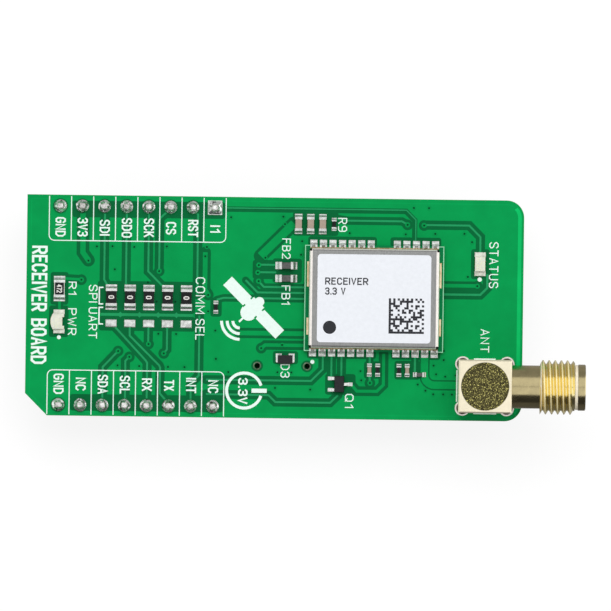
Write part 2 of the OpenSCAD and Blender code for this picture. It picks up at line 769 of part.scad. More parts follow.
module jack_solder() {
    foot_d = jack_land_d - solder_rim;
    color(solder_grey) {
        for (p = leg_corners) translate([p[0], p[1], board_z - land_t]) mirror([0, 0, 1])
            solder_cone(foot_d, leg_solder_d, leg_cone_h, leg_w);
        // The signal pin is round, so its cone has a round hole
        translate([jack_x, jack_y, board_z - land_t]) mirror([0, 0, 1]) difference() {
            solder_cone(foot_d, signal_d + 2 * (fit + solder_rim), leg_cone_h, signal_d / 2);
            translate([0, 0, -cut]) cylinder(d = signal_d + 2 * fit, h = leg_cone_h + 2 * cut);
        }
        // Solder that has come up around the legs and shows beside the block
        difference() {
            for (p = leg_corners) translate([p[0], p[1], chip_z])
                solder_cone(foot_d, leg_w, leg_ring_h, leg_w / 2);
            translate([jack_x, jack_y, chip_z - cut]) block(block_w, block_w, block_h);
        }
    }
}

// Resistors

module power_resistor_body() { color(ceramic_white) on_board(power_resistor_at) chip_core(large); }
module power_resistor_glaze() { color(glaze_black) on_board(power_resistor_at) chip_glaze(large); }
module power_resistor_terminals() { color(tin) on_board(power_resistor_at) chip_terminals(large); }
module selector_resistor_bodies() { color(ceramic_white) on_board(selector_at) chip_core(large); }
module selector_resistor_glazes() { color(glaze_black) on_board(selector_at) chip_glaze(large); }
module selector_resistor_terminals() { color(tin) on_board(selector_at) chip_terminals(large); }
module small_resistor_bodies() { color(ceramic_white) on_board(small_resistor_at) chip_core(small); }
module small_resistor_glazes() { color(glaze_black) on_board(small_resistor_at) chip_glaze(small); }
module small_resistor_terminals() { color(tin) on_board(small_resistor_at) chip_terminals(small); }

// Lamps

module power_led_base() {
    color(ceramic_white) on_board(power_lamp_at) difference() {
        chip_core(lamp);
        translate([0, -large_w / 2, -cut]) block(large_l / 2, 2 * lamp_notch, lamp_base_t + 2 * cut);
    }
}

module power_led_lens() {
    chord = large_l / 2;
    side = large_w / 2;
    bulge_r = (chord * chord + lens_bulge * lens_bulge) / (2 * lens_bulge);
    color([0.96, 0.95, 0.88, 0.9]) on_board(power_lamp_at) {
        translate([0, 0, lamp_base_t - terminal_t]) linear_extrude(lens_h) difference() {
            square([lamp_window, large_w - 2 * terminal_t], center = true);
            translate([0, -side]) square([large_l / 2, 2 * lamp_notch], center = true);
        }
        // The bulge runs past both terminals, and meets the base between them
        linear_extrude(lamp_base_t - terminal_t + lens_h) intersection() {
            translate([0, side + lens_bulge - bulge_r]) circle(bulge_r);
            union() {
                translate([-large_l, side]) square([2 * large_l, large_w]);
                translate([-lamp_window / 2, side - terminal_t]) square([lamp_window, large_w]);
            }
        }
    }
}

module power_led_terminals() { color(tin) on_board(power_lamp_at) chip_terminals(lamp); }

module status_led_base() { color(ceramic_white) on_board(status_lamp_at) chip_core(lamp); }

module status_led_lens() {
    color([0.97, 0.93, 0.86, 0.9]) on_board(status_lamp_at)
        translate([0, 0, lamp_base_t - terminal_t])
            block(lamp_window - 2 * lens_gap, large_w - 2 * terminal_t, lens_h);
}

module status_led_terminals() { color(tin) on_board(status_lamp_at) chip_terminals(lamp); }

// Beads, capacitors and inductor

module ferrite_bead_bodies() { color([0.3, 0.3, 0.3]) on_board(bead_at) chip_core(bead); }
module ferrite_bead_terminals() { color(tin) on_board(bead_at) chip_terminals(bead); }
module supply_capacitor_bodies() {
    color([0.72, 0.62, 0.56]) on_board(supply_capacitor_at) chip_core(capacitor);
}

module supply_capacitor_terminals() {
    color(tin) on_board(supply_capacitor_at) chip_terminals(capacitor);
}

module small_capacitor_bodies() { color([0.6, 0.46, 0.38]) on_board(small_capacitor_at) chip_core(small); }
module small_capacitor_terminals() { color(tin) on_board(small_capacitor_at) chip_terminals(small); }
module antenna_inductor_body() { color([0.16, 0.18, 0.16]) on_board(inductor_at) chip_core(small); }
module antenna_inductor_terminals() { color(tin) on_board(inductor_at) chip_terminals(small); }

// Diode

module diode_body() {
    color(package_black) translate([diode_at[0], diode_at[1], chip_z]) difference() {
        block(diode_l, diode_w, diode_h);
        diode_end_cuts(diode_w + cut);
    }
}

module diode_end_cuts(w) {
    for (sx = [-1, 1]) translate([sx * diode_l / 2, 0, 0]) block(2 * diode_inner, w, lead_t);
}

module diode_terminals() {
    color(tin) translate([diode_at[0], diode_at[1], chip_z]) {
        diode_end_cuts(diode_terminal_w);
        for (sx = [-1, 1]) translate([sx * (diode_l + diode_inner) / 2, 0, 0])
            block(diode_inner, diode_terminal_w, diode_foot_h);
    }
}

// Transistor

module transistor_body() {
    w = transistor_w - 2 * body_draft;
    l = transistor_l - 2 * body_draft;
    color(package_black) translate([transistor_at[0], transistor_at[1], chip_z]) hull() {
        translate([0, 0, body_lift]) block(w, l, transistor_h - body_lift);
        translate([0, 0, lead_z]) block(transistor_w, transistor_l, lead_t);
    }
}

module transistor_leads() {
    color(tin) for (p = transistor_feet)
        translate([transistor_at[0], p[1], chip_z]) rotate(p[2] > 0 ? 0 : 180)
            translate([transistor_w / 2, lead_w / 2, 0]) rotate([90, 0, 0]) linear_extrude(lead_w) polygon([
                [0, lead_z], [lead_knee, lead_z], [lead_heel, 0], [lead_reach, 0], [lead_reach, lead_t],
                [lead_heel + lead_t, lead_t], [lead_knee + lead_t, lead_z + lead_t], [0, lead_z + lead_t]]);
}

// Solder fillets at the ends of the chips

module chip_solder() {
    color(solder_grey) {
        on_board(large_places) chip_fillets(large);
        on_board(lamp_places) chip_fillets(lamp);
        on_board(bead_at) chip_fillets(bead);
        on_board(supply_capacitor_at) chip_fillets(capacitor);
        on_board(small_places) chip_fillets(small);
    }
}

circuit_board();
board_lands();
header_bar_upper();
header_bar_lower();
header_pins_upper();
header_pins_lower();
header_solder_upper();
header_solder_lower();
module_substrate();
module_solder();
shield_can();
can_solder();
module_label();
receiver_chip();
reference_oscillator();
clock_crystal();
band_filter();
input_amplifier();
module_passives();
jack_body();
jack_barrel();
jack_cap();
jack_insulator();
jack_lower_insulator();
jack_contact();
jack_signal_pin();
jack_solder();
power_resistor_body();
power_resistor_glaze();
power_resistor_terminals();
selector_resistor_bodies();
selector_resistor_glazes();
selector_resistor_terminals();
small_resistor_bodies();
small_resistor_glazes();
small_resistor_terminals();
power_led_base();
power_led_lens();
power_led_terminals();
status_led_base();
status_led_lens();
status_led_terminals();
ferrite_bead_bodies();
ferrite_bead_terminals();
supply_capacitor_bodies();
supply_capacitor_terminals();
small_capacitor_bodies();
small_capacitor_terminals();
antenna_inductor_body();
antenna_inductor_terminals();
diode_body();
diode_terminals();
transistor_body();
transistor_leads();
chip_solder();
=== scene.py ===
"""Looks of a plug-in satellite receiver board, built around its packed solids."""

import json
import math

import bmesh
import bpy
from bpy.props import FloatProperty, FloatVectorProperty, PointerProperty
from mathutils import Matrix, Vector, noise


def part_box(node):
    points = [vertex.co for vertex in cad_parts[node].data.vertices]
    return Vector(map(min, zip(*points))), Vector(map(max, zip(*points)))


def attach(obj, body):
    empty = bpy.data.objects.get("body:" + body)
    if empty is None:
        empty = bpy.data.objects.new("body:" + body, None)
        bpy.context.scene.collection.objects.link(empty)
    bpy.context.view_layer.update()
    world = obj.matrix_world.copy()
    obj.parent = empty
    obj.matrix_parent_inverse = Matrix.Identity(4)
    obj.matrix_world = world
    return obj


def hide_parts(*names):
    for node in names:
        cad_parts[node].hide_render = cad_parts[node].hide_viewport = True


bl_info = {
    "name": "Satellite Receiver Board",
    "version": (1, 0, 0),
    "blender": (4, 5, 0),
    "location": "View3D > Sidebar > Receiver Board",
    "description": "Dresses a plug-in satellite receiver board with its copper, print, finishes and stage",
    "category": "Object",
}

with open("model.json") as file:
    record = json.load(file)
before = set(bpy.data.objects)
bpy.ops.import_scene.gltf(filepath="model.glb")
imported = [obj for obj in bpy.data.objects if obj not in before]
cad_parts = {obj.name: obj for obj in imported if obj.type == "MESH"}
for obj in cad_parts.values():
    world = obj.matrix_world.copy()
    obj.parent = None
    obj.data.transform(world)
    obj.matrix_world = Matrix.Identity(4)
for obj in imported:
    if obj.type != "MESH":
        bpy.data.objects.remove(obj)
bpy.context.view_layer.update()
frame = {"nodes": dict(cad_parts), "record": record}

# Shapes are drawn in millimetres, and a finished piece is scaled to metres
MM = 0.001


def tone(red, green, blue):
    """Linear colour of a screen colour from 0 to 255."""
    def linear(value):
        share = value / 255
        return share / 12.92 if share <= 0.04045 else ((share + 0.055) / 1.055) ** 2.4
    return linear(red), linear(green), linear(blue)


def box_mm(node):
    """Lowest and highest corner of a solid, in millimetres."""
    low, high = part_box(node)
    return low / MM, high / MM


# Places taken from the solids
BOARD_LOW, BOARD_HIGH = box_mm("circuit_board")
TOP = BOARD_HIGH.z
PINS_LOW, PINS_HIGH = box_mm("header_pins_upper")
PIN_COUNT = 8
PIN_W = PINS_HIGH.y - PINS_LOW.y
ROW_Y = (PINS_LOW.y + PINS_HIGH.y) / 2
PITCH = (PINS_HIGH.x - PINS_LOW.x - PIN_W) / (PIN_COUNT - 1)
PIN_X = [PINS_LOW.x + PIN_W / 2 + k * PITCH for k in range(PIN_COUNT)]
SUBSTRATE_LOW, SUBSTRATE_HIGH = box_mm("module_substrate")
CAN_LOW, CAN_HIGH = box_mm("shield_can")
LABEL_LOW, LABEL_HIGH = box_mm("module_label")
BARREL_LOW, BARREL_HIGH = box_mm("jack_barrel")
JACK_LOW, JACK_HIGH = box_mm("jack_body")
JOINTS_LOW, JOINTS_HIGH = box_mm("jack_solder")
GLAZE_LOW, GLAZE_HIGH = box_mm("selector_resistor_glazes")
SOLDER_LOW, SOLDER_HIGH = box_mm("header_solder_upper")

# Widths of the painted highlights along the can's folds at its ends and along its sides, and of the jack's
# square legs
CAN_FOLD_HIGHLIGHT_X = 0.36
CAN_FOLD_HIGHLIGHT_Y = 0.14
LEG_W = 1.02

# Levels of the thin layers above the board's upper face, and the step between shapes that overlap
SUNK = 0.004
GAP_LEVEL = 0.004
LINE_LEVEL = 0.026
VIA_LEVEL = 0.036
PRINT_LEVEL = 0.042
LAYER_STEP = 0.0015

# Copper lines: width of a thin one, bare width beside it and around a via at its end, width of a strip
THIN = 0.22
CLEAR = 0.42
END_CLEAR = 0.62
BROAD = 0.3

# Pad of a via, and outer and inner radius of the clearing and the lip around a test hole, and its lower
# cover, a dark disc that puts painted shade inside the hole
VIA_PAD_R = 0.3
TEST_CLEAR = (0.68, 0.44)
TEST_LIP = (0.46, 0.34)
TEST_SHADE_COVER_R = 0.5

# Selector places, from left to right
SELECTOR_X = [-2.91, -0.75, 1.41, 3.57, 5.73]


def arc(x, y, radius, start, end, steps=6):
    """Points along an arc, with its angles in degrees."""
    angles = [math.radians(start + (end - start) * k / steps) for k in range(steps + 1)]
    return [(x + radius * math.cos(a), y + radius * math.sin(a)) for a in angles]


# Copper lines under the mask: width, bare width beside the line, points
COPPER_LINES = [
    (0.62, CLEAR, [(PIN_X[1] + 0.05, ROW_Y), (-6.25, 8), (-6.25, 6.1), (-5.6, 5.2)]),
    (THIN, CLEAR, [(-3.76, ROW_Y), (-3.76, 3), (-3.4, 2.4)]),
    (THIN, CLEAR, [(-1.25, ROW_Y), (-1.25, 2.4)]),
    (THIN, CLEAR, [(1.3, ROW_Y), (1.3, 4), (2.9, 2.4)]),
    (THIN, CLEAR, [(3.5, 11), (2.65, 10.2), (2.55, 10), (2.55, 4.05)]),
    (THIN, CLEAR, [(6.5, 11.1), (6.95, 10.6), (6.95, 1.4)]),
    (0.55, 0.36, [(7.83, 6.3), (7.83, 2), (8.22, 1.4)]),
    (0.3, 0.36, [(-8.5, 3.08), (-6.4, 2.98)]),
    (0.3, 0.3, [(-8.87, 0.6), (-8.87, -0.6)]),
    (THIN, CLEAR, [(-2.75, -2.1), (1.1, -6.2), (1.3, -6.5), (1.3, -ROW_Y)]),
    (THIN, CLEAR, [(-0.75, -2.1), (-0.75, -3.4), (2.7, -6.8), (2.8, -7.05), (2.8, -10), (3.6, -10.9)]),
    (THIN, CLEAR, [(1.4, -2.1), (1.4, -4.35)]),
    (THIN, CLEAR, [(3.55, -2.1), (3.55, -4.95), (3.2, -5.4)]),
    (THIN, CLEAR, [(-3.8, -ROW_Y), (-3.8, -7.05), (-2.05, -5.2)]),
    (THIN, CLEAR, [(-1.2, -ROW_Y), (-1.2, -6.3), (-0.75, -5.85)]),
    (THIN, CLEAR, [(7.25, -1), (7.25, -7.9), (6.35, -8.8), (6.35, -ROW_Y)]),
    (THIN, 0.4, [(8.1, -8.35), (20.15, -8.35), (21.5, -7), (21.5, -5.3)]),
    (THIN, 0.4, [(8.1, -10), (15.3, -10.05), (16.1, -10.83), (22.4, -10.83), (23.3, -9.95)]),
    (THIN, 0.3, [(14, 3.05), (14.6, 2.4), (19.3, 2.4)]),
    (THIN, 0.3, [(12.5, 3.15), (13.9, 1.75), (19.3, 1.75)]),
    (THIN, 0.32, [(9.2, 0.85), (10, 1.08), (19.3, 1.08)]),
    (0.55, 0.32, [(11.9, -2.93), (19.3, -2.93)]),
    (0.4, 0.34, [(14.4, -4.65), (14.85, -4.28), (19.3, -4.28)]),
    (THIN, 0.3, [(14, 4.95), (15.9, 4.95)]),
    (THIN, 0.3, [(13.9, 4.08), (16, 4.08)]),
    (0.95, 0.32, [(18, 9.75), (14.2, 5.95)]),
    (0.14, 0.1, [(10.1, 11.43), (30.9, 11.43), (32, 10.33), (32, 7.8)]),
    (THIN, 0.36, [(22.6, 10.4), (24.2, 10.14), (30.4, 10.14), (31.05, 9.78)]),
    (THIN, CLEAR, [(32.95, 9.75), (38.15, 9.75), (39.45, 8.45), (39.45, 6.5)]),
    (0.25, CLEAR, [(35.2, 1.8), (39.5, 1.8), (40.3, 2.6), (40.3, 4.2)]),
    (0.42, 0.3, [(35.2, 2.82), (39.15, 2.82)]),
    (THIN, CLEAR, [(22.5, -5.3), (22.5, -8)]),
    (THIN, CLEAR, [(23.65, -5.3), (23.65, -7.9)]),
    (0.35, 0.38, [(24.9, -8.8), (25.45, -9.45), (27.75, -9.45), (28.5, -8.7), (28.5, -5.1)]),
    (0.25, 0.3, [(26.9, -5.3), (26.9, -6.4)]),
    (0.25, 0.3, [(26.9, -7.6), (26.95, -8.5)]),
    (0.25, 0.3, [(32.1, -5.4), (32.1, -7.4)]),
    (0.86, 0.16, [(33.2, -5.3)] + arc(34.35, -7.5, 1.15, 180, 270, 8) + [(37.3, -8.65)]),
]

# Bare fields around the parts and the header rows: left, right, lower, upper
BARE_FIELDS = [
    (PIN_X[0] + PITCH / 2 + 0.1, PIN_X[-1] + PITCH / 2 - 0.1, 10.15, 12.05),
    (PIN_X[0] + PITCH / 2 + 0.1, PIN_X[-1] + PITCH / 2 - 0.1, -12.1, -10.2),
    (-9.92, -7.85, 0.05, 3.8),
    (-10.05, -7.8, -3.68, -0.05),
    (-4.5, 6.75, -0.82, 2.86),
    (-4.3, 6.75, -2.86, -1.18),
    (8.5, 9.8, -1.1, 1.1),
    (13.3, 15.8, 3.3, 5.5),
    (15.6, 18.95, 2.9, 5.7),
    (17.85, 23.1, 8.35, 11.1),
    (19.65, 27.55, 7.2, 8.3),
    (29.1, 34.95, 7.2, 8.3),
    (19.65, 27.6, -5.75, -4.8),
    (29.35, 35, -5.75, -4.8),
    (15.75, 18.65, -6.45, -4.95),
    (21.8, 25.3, -9.9, -7.5),
    (26.25, 28.2, -8, -6),
    (29.75, 32.7, -8.05, -5.9),
    (38.4, 40.55, 3.6, 7.05),
]

# Broad gap beside the long upper line: width, points
BARE_BAND = (0.34, [(10.1, 11.15), (30.8, 11.15), (31.75, 10.2), (31.75, 7.8)])

# Joined copper between the selector rows: left, right and height, width, and the diamonds on it
COMMON_STRIP = (-4.1, 6.5, -1)
COMMON_W = 0.3
DIAMOND_R = 0.34
COMMON_DIAMONDS = [-1.85, 0.35, 2.5, 4.6]

VIAS = [
    (-5.6, 5.15), (-6.38, 2.95), (-4.65, 6.8), (-2.85, 6.85), (-0.35, 6.8), (-2.55, 4.2), (3.4, 6.9),
    (8, 6.9), (7.83, 5.83), (8.22, 1.38), (2.55, 4.05), (1.28, 2.75), (2.3, 0.55), (4.45, 0.55),
    (-2.05, -5.2), (-0.75, -5.85), (1.43, -4.35), (3.2, -5.4), (-2.1, -6.85), (0.4, -6.9), (2.55, -3.15),
    (4.6, -3.15), (3.7, -6.95), (5.6, -6.95), (8.25, -0.5), (9.1, -2.7), (9.2, -5.95), (10.65, -7.45),
    (10.75, 10.35), (14.4, -4.65), (14.75, 5.75), (14, 4.9), (13.9, 4.05), (14, 3.05), (16.75, 10.5),
    (16.95, 9.65), (24.4, 8.7), (18.95, 7.7), (18.85, 6.15), (16.05, -9.2), (20.1, -9.35), (16.3, -7.4),
    (17.9, -7.4), (25.85, -7.15), (25.95, -8.2), (26.95, -8.5), (16.8, -4.25), (31.05, 9.75),
    (32.95, 9.7), (31.75, 11.7), (33.5, 11.7), (30.85, 8.65), (34.25, 8.75), (37.6, 8.8), (38.5, 7.85),
    (38.05, 3.85), (39.15, 2.8), (34.25, -6.4), (34.55, -7.4), (35.6, -7.65), (36.8, -7.5),
    (32.45, -8.6), (33.35, -9.3), (34.25, -9.7), (35.4, -9.7), (36.4, -9.7), (35.4, -5.75), (35.4, -4.7),
]
TEST_HOLES = [(13.95, -6.68), (19.68, -6.68)]

# Printed marks of the header rows: words, upper end, lower end
UPPER_MARKS = [("GND", 10.12, 7.88), ("3V3", 10.08, 7.93), ("SDI", 9.88, 8.05), ("SDO", 10.1, 7.85),
               ("SCK", 10.1, 7.93), ("CS", 9.72, 8.28), ("RST", 10, 8), ("I1", 9.4, 8.55)]
LOWER_MARKS = [("GND", -7.88, -10.22), ("NC", -8.3, -9.8), ("SDA", -7.95, -10.15), ("SCL", -8.03, -10.1),
               ("RX", -8.3, -9.75), ("TX", -8.42, -9.7), ("INT", -8.18, -9.95), ("NC", -8.4, -9.9)]

# Printed marks beside the parts: words, left, right, upper end, lower end
PART_MARKS = [
    ("R1", -7.85, -6.92, 2.72, 1.22), ("PWR", -7.88, -6.88, -0.35, -3.42), ("SPI", -5.5, -4.5, 2.38, 0.35),
    ("UART", -5.5, -4.5, -0.2, -3.8), ("COMM", 6.78, 7.85, 3.4, -0.8), ("SEL", 6.8, 7.85, -1.38, -3.78),
    ("FB2", 16.65, 17.65, 8, 5.65), ("FB1", 16.65, 17.65, 2.6, 0.4), ("R9", 23.05, 24.1, 10.45, 8.85),
    ("D3", 16.65, 17.7, -6.45, -8), ("Q1", 24.1, 25.1, -9.78, -11.4), ("STATUS", 40.48, 41.55, 7.88, 2.6),
    ("ANT", 39.6, 40.62, -2.12, -4.82),
]
PRINT_LINES = [
    [(-3.85, 2.1), (-4.3, 2.1), (-4.3, 0.2), (-3.85, 0.2)],
    [(-3.85, -0.2), (-4.3, -0.2), (-4.3, -2.1), (-3.85, -2.1)],
    [(38.9, -5.58), (41.35, -5.58)],
    [(38.9, -11.85), (41.5, -11.85)],
    [(36.95, -6.9), (36.95, -10.5)],
]
PRINT_DOTS = [(-8.88, -3.7, 0.23), (39.42, 3.57, 0.25), (20.3, -6.15, 0.23)]
SUPPLY_RING = (12.5, -9.55, 2.02)
TITLE = ("RECEIVER BOARD", (-12.1, -6.8), (-10.3, 6.8))

# Pen widths of the header marks, the supply mark, the title and the label's words
HEADER_PEN = 0.18
SUPPLY_PEN = 0.19
TITLE_PEN = 0.27
LABEL_PEN = 0.14

# Print on the label: dot with its radius, left and lower end, width and cells of the square, words
LABEL_DOT = (22.22, -2.15, 0.76)
CODE_SQUARE = (29, -2.78, 4.06, 16)
LABEL_WORDS = [("RECEIVER", (21.65, 2.75), (26.6, 3.58)), ("3.3 V", (21.65, 1.6), (24, 2.43))]

# Point of the board in the middle of the picture
PICTURE_MIDDLE = (19.43, 0.32)

# Large lamp and the cards that reflections show, in metres
LAMP_PLACE = (0.08, 0.36, 0.8)
LAMP_AIM = (0.03, -0.004, 0)
LAMP_SIZE = (0.7, 0.5)
# Name, place, point that the card faces, width and height, brightness
CARDS = [
    ("overhead_card", (0.03, 0.09, 0.5), (0.03, 0.09, 0), (2.4, 1.09), 1),
    ("camera_card", (0.02, 0.012, 0.498), (0.02, 0.012, 0), (0.08, 0.035), 0.1),
    ("front_card", (0.03, -0.455, 0.245), (0.03, 0, 0.245), (2.4, 0.51), 0.045),
    ("low_front_card", (0.03, -0.455, -0.56), (0.03, 0, -0.56), (2.4, 1.1), 0.12),
    ("left_card", (-1, 0.1, 0.1), (0, 0.1, 0.1), (0.9, 1), 1.1),
    ("right_card", (1.1, 0.1, 0.1), (0, 0.1, 0.1), (0.9, 1), 1.6),
]


# Pen letters in a box of one by one: width, then the lines
ROUND = [(1, 0.8), (0.75, 1), (0.25, 1), (0, 0.8), (0, 0.2), (0.25, 0), (0.75, 0), (1, 0.2)]
STEM = [(0, 0), (0, 1)]
BOWL = [(0, 1), (0.7, 1), (1, 0.86), (1, 0.6), (0.7, 0.46), (0, 0.46)]
GLYPHS = {
    "A": (1, [[(0, 0), (0.5, 1), (1, 0)], [(0.18, 0.32), (0.82, 0.32)]]),
    "B": (1, [[(0, 0), (0, 1), (0.7, 1), (0.95, 0.86), (0.95, 0.68), (0.72, 0.54), (1, 0.4), (1, 0.15),
               (0.7, 0), (0, 0)], [(0, 0.54), (0.72, 0.54)]]),
    "C": (1, [ROUND]),
    "D": (1, [[(0, 0), (0, 1), (0.6, 1), (1, 0.76), (1, 0.24), (0.6, 0), (0, 0)]]),
    "E": (0.9, [[(0.9, 1), (0, 1), (0, 0), (0.9, 0)], [(0, 0.53), (0.75, 0.53)]]),
    "F": (0.9, [[(0.9, 1), (0, 1), (0, 0)], [(0, 0.5), (0.75, 0.5)]]),
    "G": (1, [ROUND + [(1, 0.48), (0.55, 0.48)]]),
    "I": (0, [STEM]),
    "K": (1, [STEM, [(0.95, 1), (0.1, 0.42)], [(0.36, 0.6), (1, 0)]]),
    "L": (0.85, [[(0, 1), (0, 0), (0.85, 0)]]),
    "M": (1.25, [[(0, 0), (0, 1), (0.62, 0.3), (1.25, 1), (1.25, 0)]]),
    "N": (1, [[(0, 0), (0, 1), (1, 0), (1, 1)]]),
    "O": (1, [ROUND + ROUND[:1]]),
    "P": (1, [STEM, BOWL]),
    "Q": (1, [ROUND + ROUND[:1], [(0.6, 0.24), (1, -0.02)]]),
    "R": (1, [STEM, BOWL, [(0.5, 0.46), (1, 0)]]),
    "S": (1, [[(1, 0.82), (0.75, 1), (0.25, 1), (0, 0.84), (0, 0.68), (0.25, 0.54), (0.75, 0.46), (1, 0.32),
               (1, 0.16), (0.75, 0), (0.25, 0), (0, 0.18)]]),
    "T": (1, [[(0, 1), (1, 1)], [(0.5, 1), (0.5, 0)]]),
    "U": (1, [[(0, 1), (0, 0.2), (0.25, 0), (0.75, 0), (1, 0.2), (1, 1)]]),
    "V": (1, [[(0, 1), (0.5, 0), (1, 1)]]),
    "W": (1.35, [[(0, 1), (0.36, 0), (0.68, 0.7), (0.99, 0), (1.35, 1)]]),
    "X": (1, [[(0, 0), (1, 1)], [(0, 1), (1, 0)]]),
    "0": (1, [ROUND + ROUND[:1]]),
    "1": (0.4, [[(0, 0.76), (0.4, 1), (0.4, 0)]]),
    "2": (1, [[(0, 0.8), (0.25, 1), (0.75, 1), (1, 0.8), (1, 0.6), (0, 0), (1, 0)]]),
    "3": (1, [[(0, 0.84), (0.25, 1), (0.75, 1), (1, 0.85), (1, 0.68), (0.75, 0.53), (0.35, 0.53)],
              [(0.7, 0.53), (1, 0.36), (1, 0.16), (0.75, 0), (0.25, 0), (0, 0.16)]]),
    "4": (1, [[(0.75, 0), (0.75, 1)], [(0.75, 1), (0, 0.3), (1, 0.3)]]),
    "7": (1, [[(0, 1), (1, 1), (0.4, 0)]]),
    "9": (1, [[(0.1, 0), (0.7, 0), (1, 0.2), (1, 0.8), (0.75, 1), (0.25, 1), (0, 0.8), (0, 0.64),
               (0.25, 0.46)], [(0.25, 0.46), (1, 0.46)]]),
    ".": (0.1, [[(0, 0), (0.1, 0)]]),
    " ": (0.5, []),
}
LETTER_GAP = 0.55


# Flat shapes

class Layers:
    """Levels for flat shapes, so that no two that overlap have faces in one plane."""

    def __init__(self, base):
        self.base = base
        self.taken = []

    def over(self, points, reach=0):
        """Lowest free level for a shape that reaches so far around its points."""
        boxes = []
        for (ax, ay), (bx, by) in zip(points, points[1:] or points):
            boxes.append((min(ax, bx) - reach, max(ax, bx) + reach, min(ay, by) - reach, max(ay, by) + reach))
        used = {level for others, level in self.taken if any(boxes_meet(a, b) for a in boxes for b in others)}
        level = min(set(range(len(used) + 1)) - used)
        self.taken.append((boxes, level))
        return self.base + level * LAYER_STEP


def boxes_meet(a, b):
    """Whether two boxes overlap: left, right, lower, upper."""
    return a[0] < b[1] and b[0] < a[1] and a[2] < b[3] and b[2] < a[3]


def raise_faces(bm, faces, height):
    """Gives flat faces a thickness upwards."""
    grown = bmesh.ops.extrude_face_region(bm, geom=faces)
    tops = [part for part in grown["geom"] if isinstance(part, bmesh.types.BMVert)]
    bmesh.ops.translate(bm, verts=tops, vec=(0, 0, height))


def stroke(bm, points, width, low, high, reach=0):
    """Line of even width with mitred bends. Reach lengthens its ends. One back to its start is closed."""
    path = [Vector(point) for point in points]
    closed = math.dist(points[0], points[-1]) < 0.001
    if not closed:
        path[0] -= (path[1] - path[0]).normalized() * reach
        path[-1] += (path[-1] - path[-2]).normalized() * reach
    steps = [(b - a).normalized() for a, b in zip(path, path[1:])]
    if closed:
        path.pop()
    pairs = []
    for k, point in enumerate(path):
        before = steps[k - 1] if closed else steps[max(k - 1, 0)]
        after = steps[min(k, len(steps) - 1)]
        middle = (before + after).normalized()
        side = Vector((-middle.y, middle.x)) * width / 2 / max(middle.dot(after), 0.5)
        pairs.append([bm.verts.new((*(point + side * turn), low)) for turn in (1, -1)])
    followers = pairs[1:] + pairs[:1] if closed else pairs[1:]
    faces = [bm.faces.new((a[0], a[1], b[1], b[0])) for a, b in zip(pairs, followers)]
    raise_faces(bm, faces, high - low)


def patch(bm, field, radius, low, high):
    """Rectangle with round corners: left, right, lower, upper."""
    left, right, lower, upper = field
    places = ((left, lower), (right, lower), (right, upper), (left, upper))
    corners = [bm.verts.new((x, y, low)) for x, y in places]
    face = bm.faces.new(corners)
    if radius:
        made = bmesh.ops.bevel(bm, geom=corners, offset=radius, offset_type="OFFSET", segments=4, profile=0.5,
                               affect="VERTICES", material=-1)
        face = max((f for v in made["verts"] for f in v.link_faces), key=lambda f: f.calc_area())
    raise_faces(bm, [face], high - low)


def disc(bm, x, y, radius, low, high, segments=20):
    """Round plate from one level to another."""
    made = bmesh.ops.create_circle(bm, cap_ends=True, radius=radius, segments=segments,
                                   matrix=Matrix.Translation((x, y, low)))
    raise_faces(bm, list(made["verts"][0].link_faces), high - low)


def plate(bm, points, low, high):
    """Flat shape with the given corners."""
    face = bm.faces.new([bm.verts.new((x, y, low)) for x, y in points])
    raise_faces(bm, [face], high - low)


def ring(bm, x, y, outer, inner, low, high, segments=24):
    """Round plate with a hole."""
    stroke(bm, arc(x, y, (outer + inner) / 2, 0, 360, segments), outer - inner, low, high)


def letters(bm, words, low_corner, high_corner, low, high, width, downwards=True):
    """Words drawn with a pen, filling a box. They read downwards along the board, or along X."""
    spans = [GLYPHS[sign][0] for sign in words]
    length = high_corner[1] - low_corner[1] if downwards else high_corner[0] - low_corner[0]
    height = high_corner[0] - low_corner[0] if downwards else high_corner[1] - low_corner[1]
    across = (length - width) / (sum(spans) + LETTER_GAP * (len(words) - 1))
    start = width / 2
    for sign, span in zip(words, spans):
        for k, path in enumerate(GLYPHS[sign][1]):
            line = [(start + u * across, width / 2 + v * (height - width)) for u, v in path]
            if downwards:
                line = [(low_corner[0] + v, high_corner[1] - u) for u, v in line]
            else:
                line = [(low_corner[0] + u, low_corner[1] + v) for u, v in line]
            stroke(bm, line, width, low, high + k * LAYER_STEP, 0 if path[0] == path[-1] else width * 0.4)
        start += (span + LETTER_GAP) * across


def rounded_block(bm, shape, radius, segments):
    """Unit cube brought to a shape, with round edges."""
    block = bmesh.ops.create_cube(bm, matrix=shape)
    edges = {edge for v in block["verts"] for edge in v.link_edges}
    bmesh.ops.bevel(bm, geom=list(edges), offset=radius, segments=segments, profile=0.5, affect="EDGES",
                    material=-1)


def closed_loop(bm, points, centre):
    """Corners and edges of an outline above an axis along X: place, distance from the axis."""
    loop = [bm.verts.new((x, centre.y, centre.z + distance)) for x, distance in points]
    return loop, [bm.edges.new(pair) for pair in zip(loop, loop[1:] + loop[:1])]


def turned(bm, points, centre):
    """Ring turned from an outline around an axis along X."""
    loop, edges = closed_loop(bm, points, centre)
    bmesh.ops.spin(bm, geom=loop + edges, cent=centre, axis=(1, 0, 0), angle=2 * math.pi, steps=96,
                   use_merge=True, use_duplicate=False)


def add_mesh(name, bm, finish):
    """Object in the scene from a finished shape."""
    mesh = bpy.data.meshes.new(name)
    bm.to_mesh(mesh)
    bm.free()
    mesh.materials.append(finish)
    made = bpy.data.objects.new(name, mesh)
    bpy.context.scene.collection.objects.link(made)
    return made


def make_piece(name, bm, finish, smooth_angle=None):
    """Finished piece at the origin, riding on the board."""
    bmesh.ops.recalc_face_normals(bm, faces=bm.faces)
    bmesh.ops.scale(bm, vec=(MM, MM, MM), verts=bm.verts)
    piece = add_mesh(name, bm, finish)
    if smooth_angle:
        piece.data.shade_smooth()
        piece.data.set_sharp_from_angle(angle=math.radians(smooth_angle))
    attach(piece, "root")
    return piece


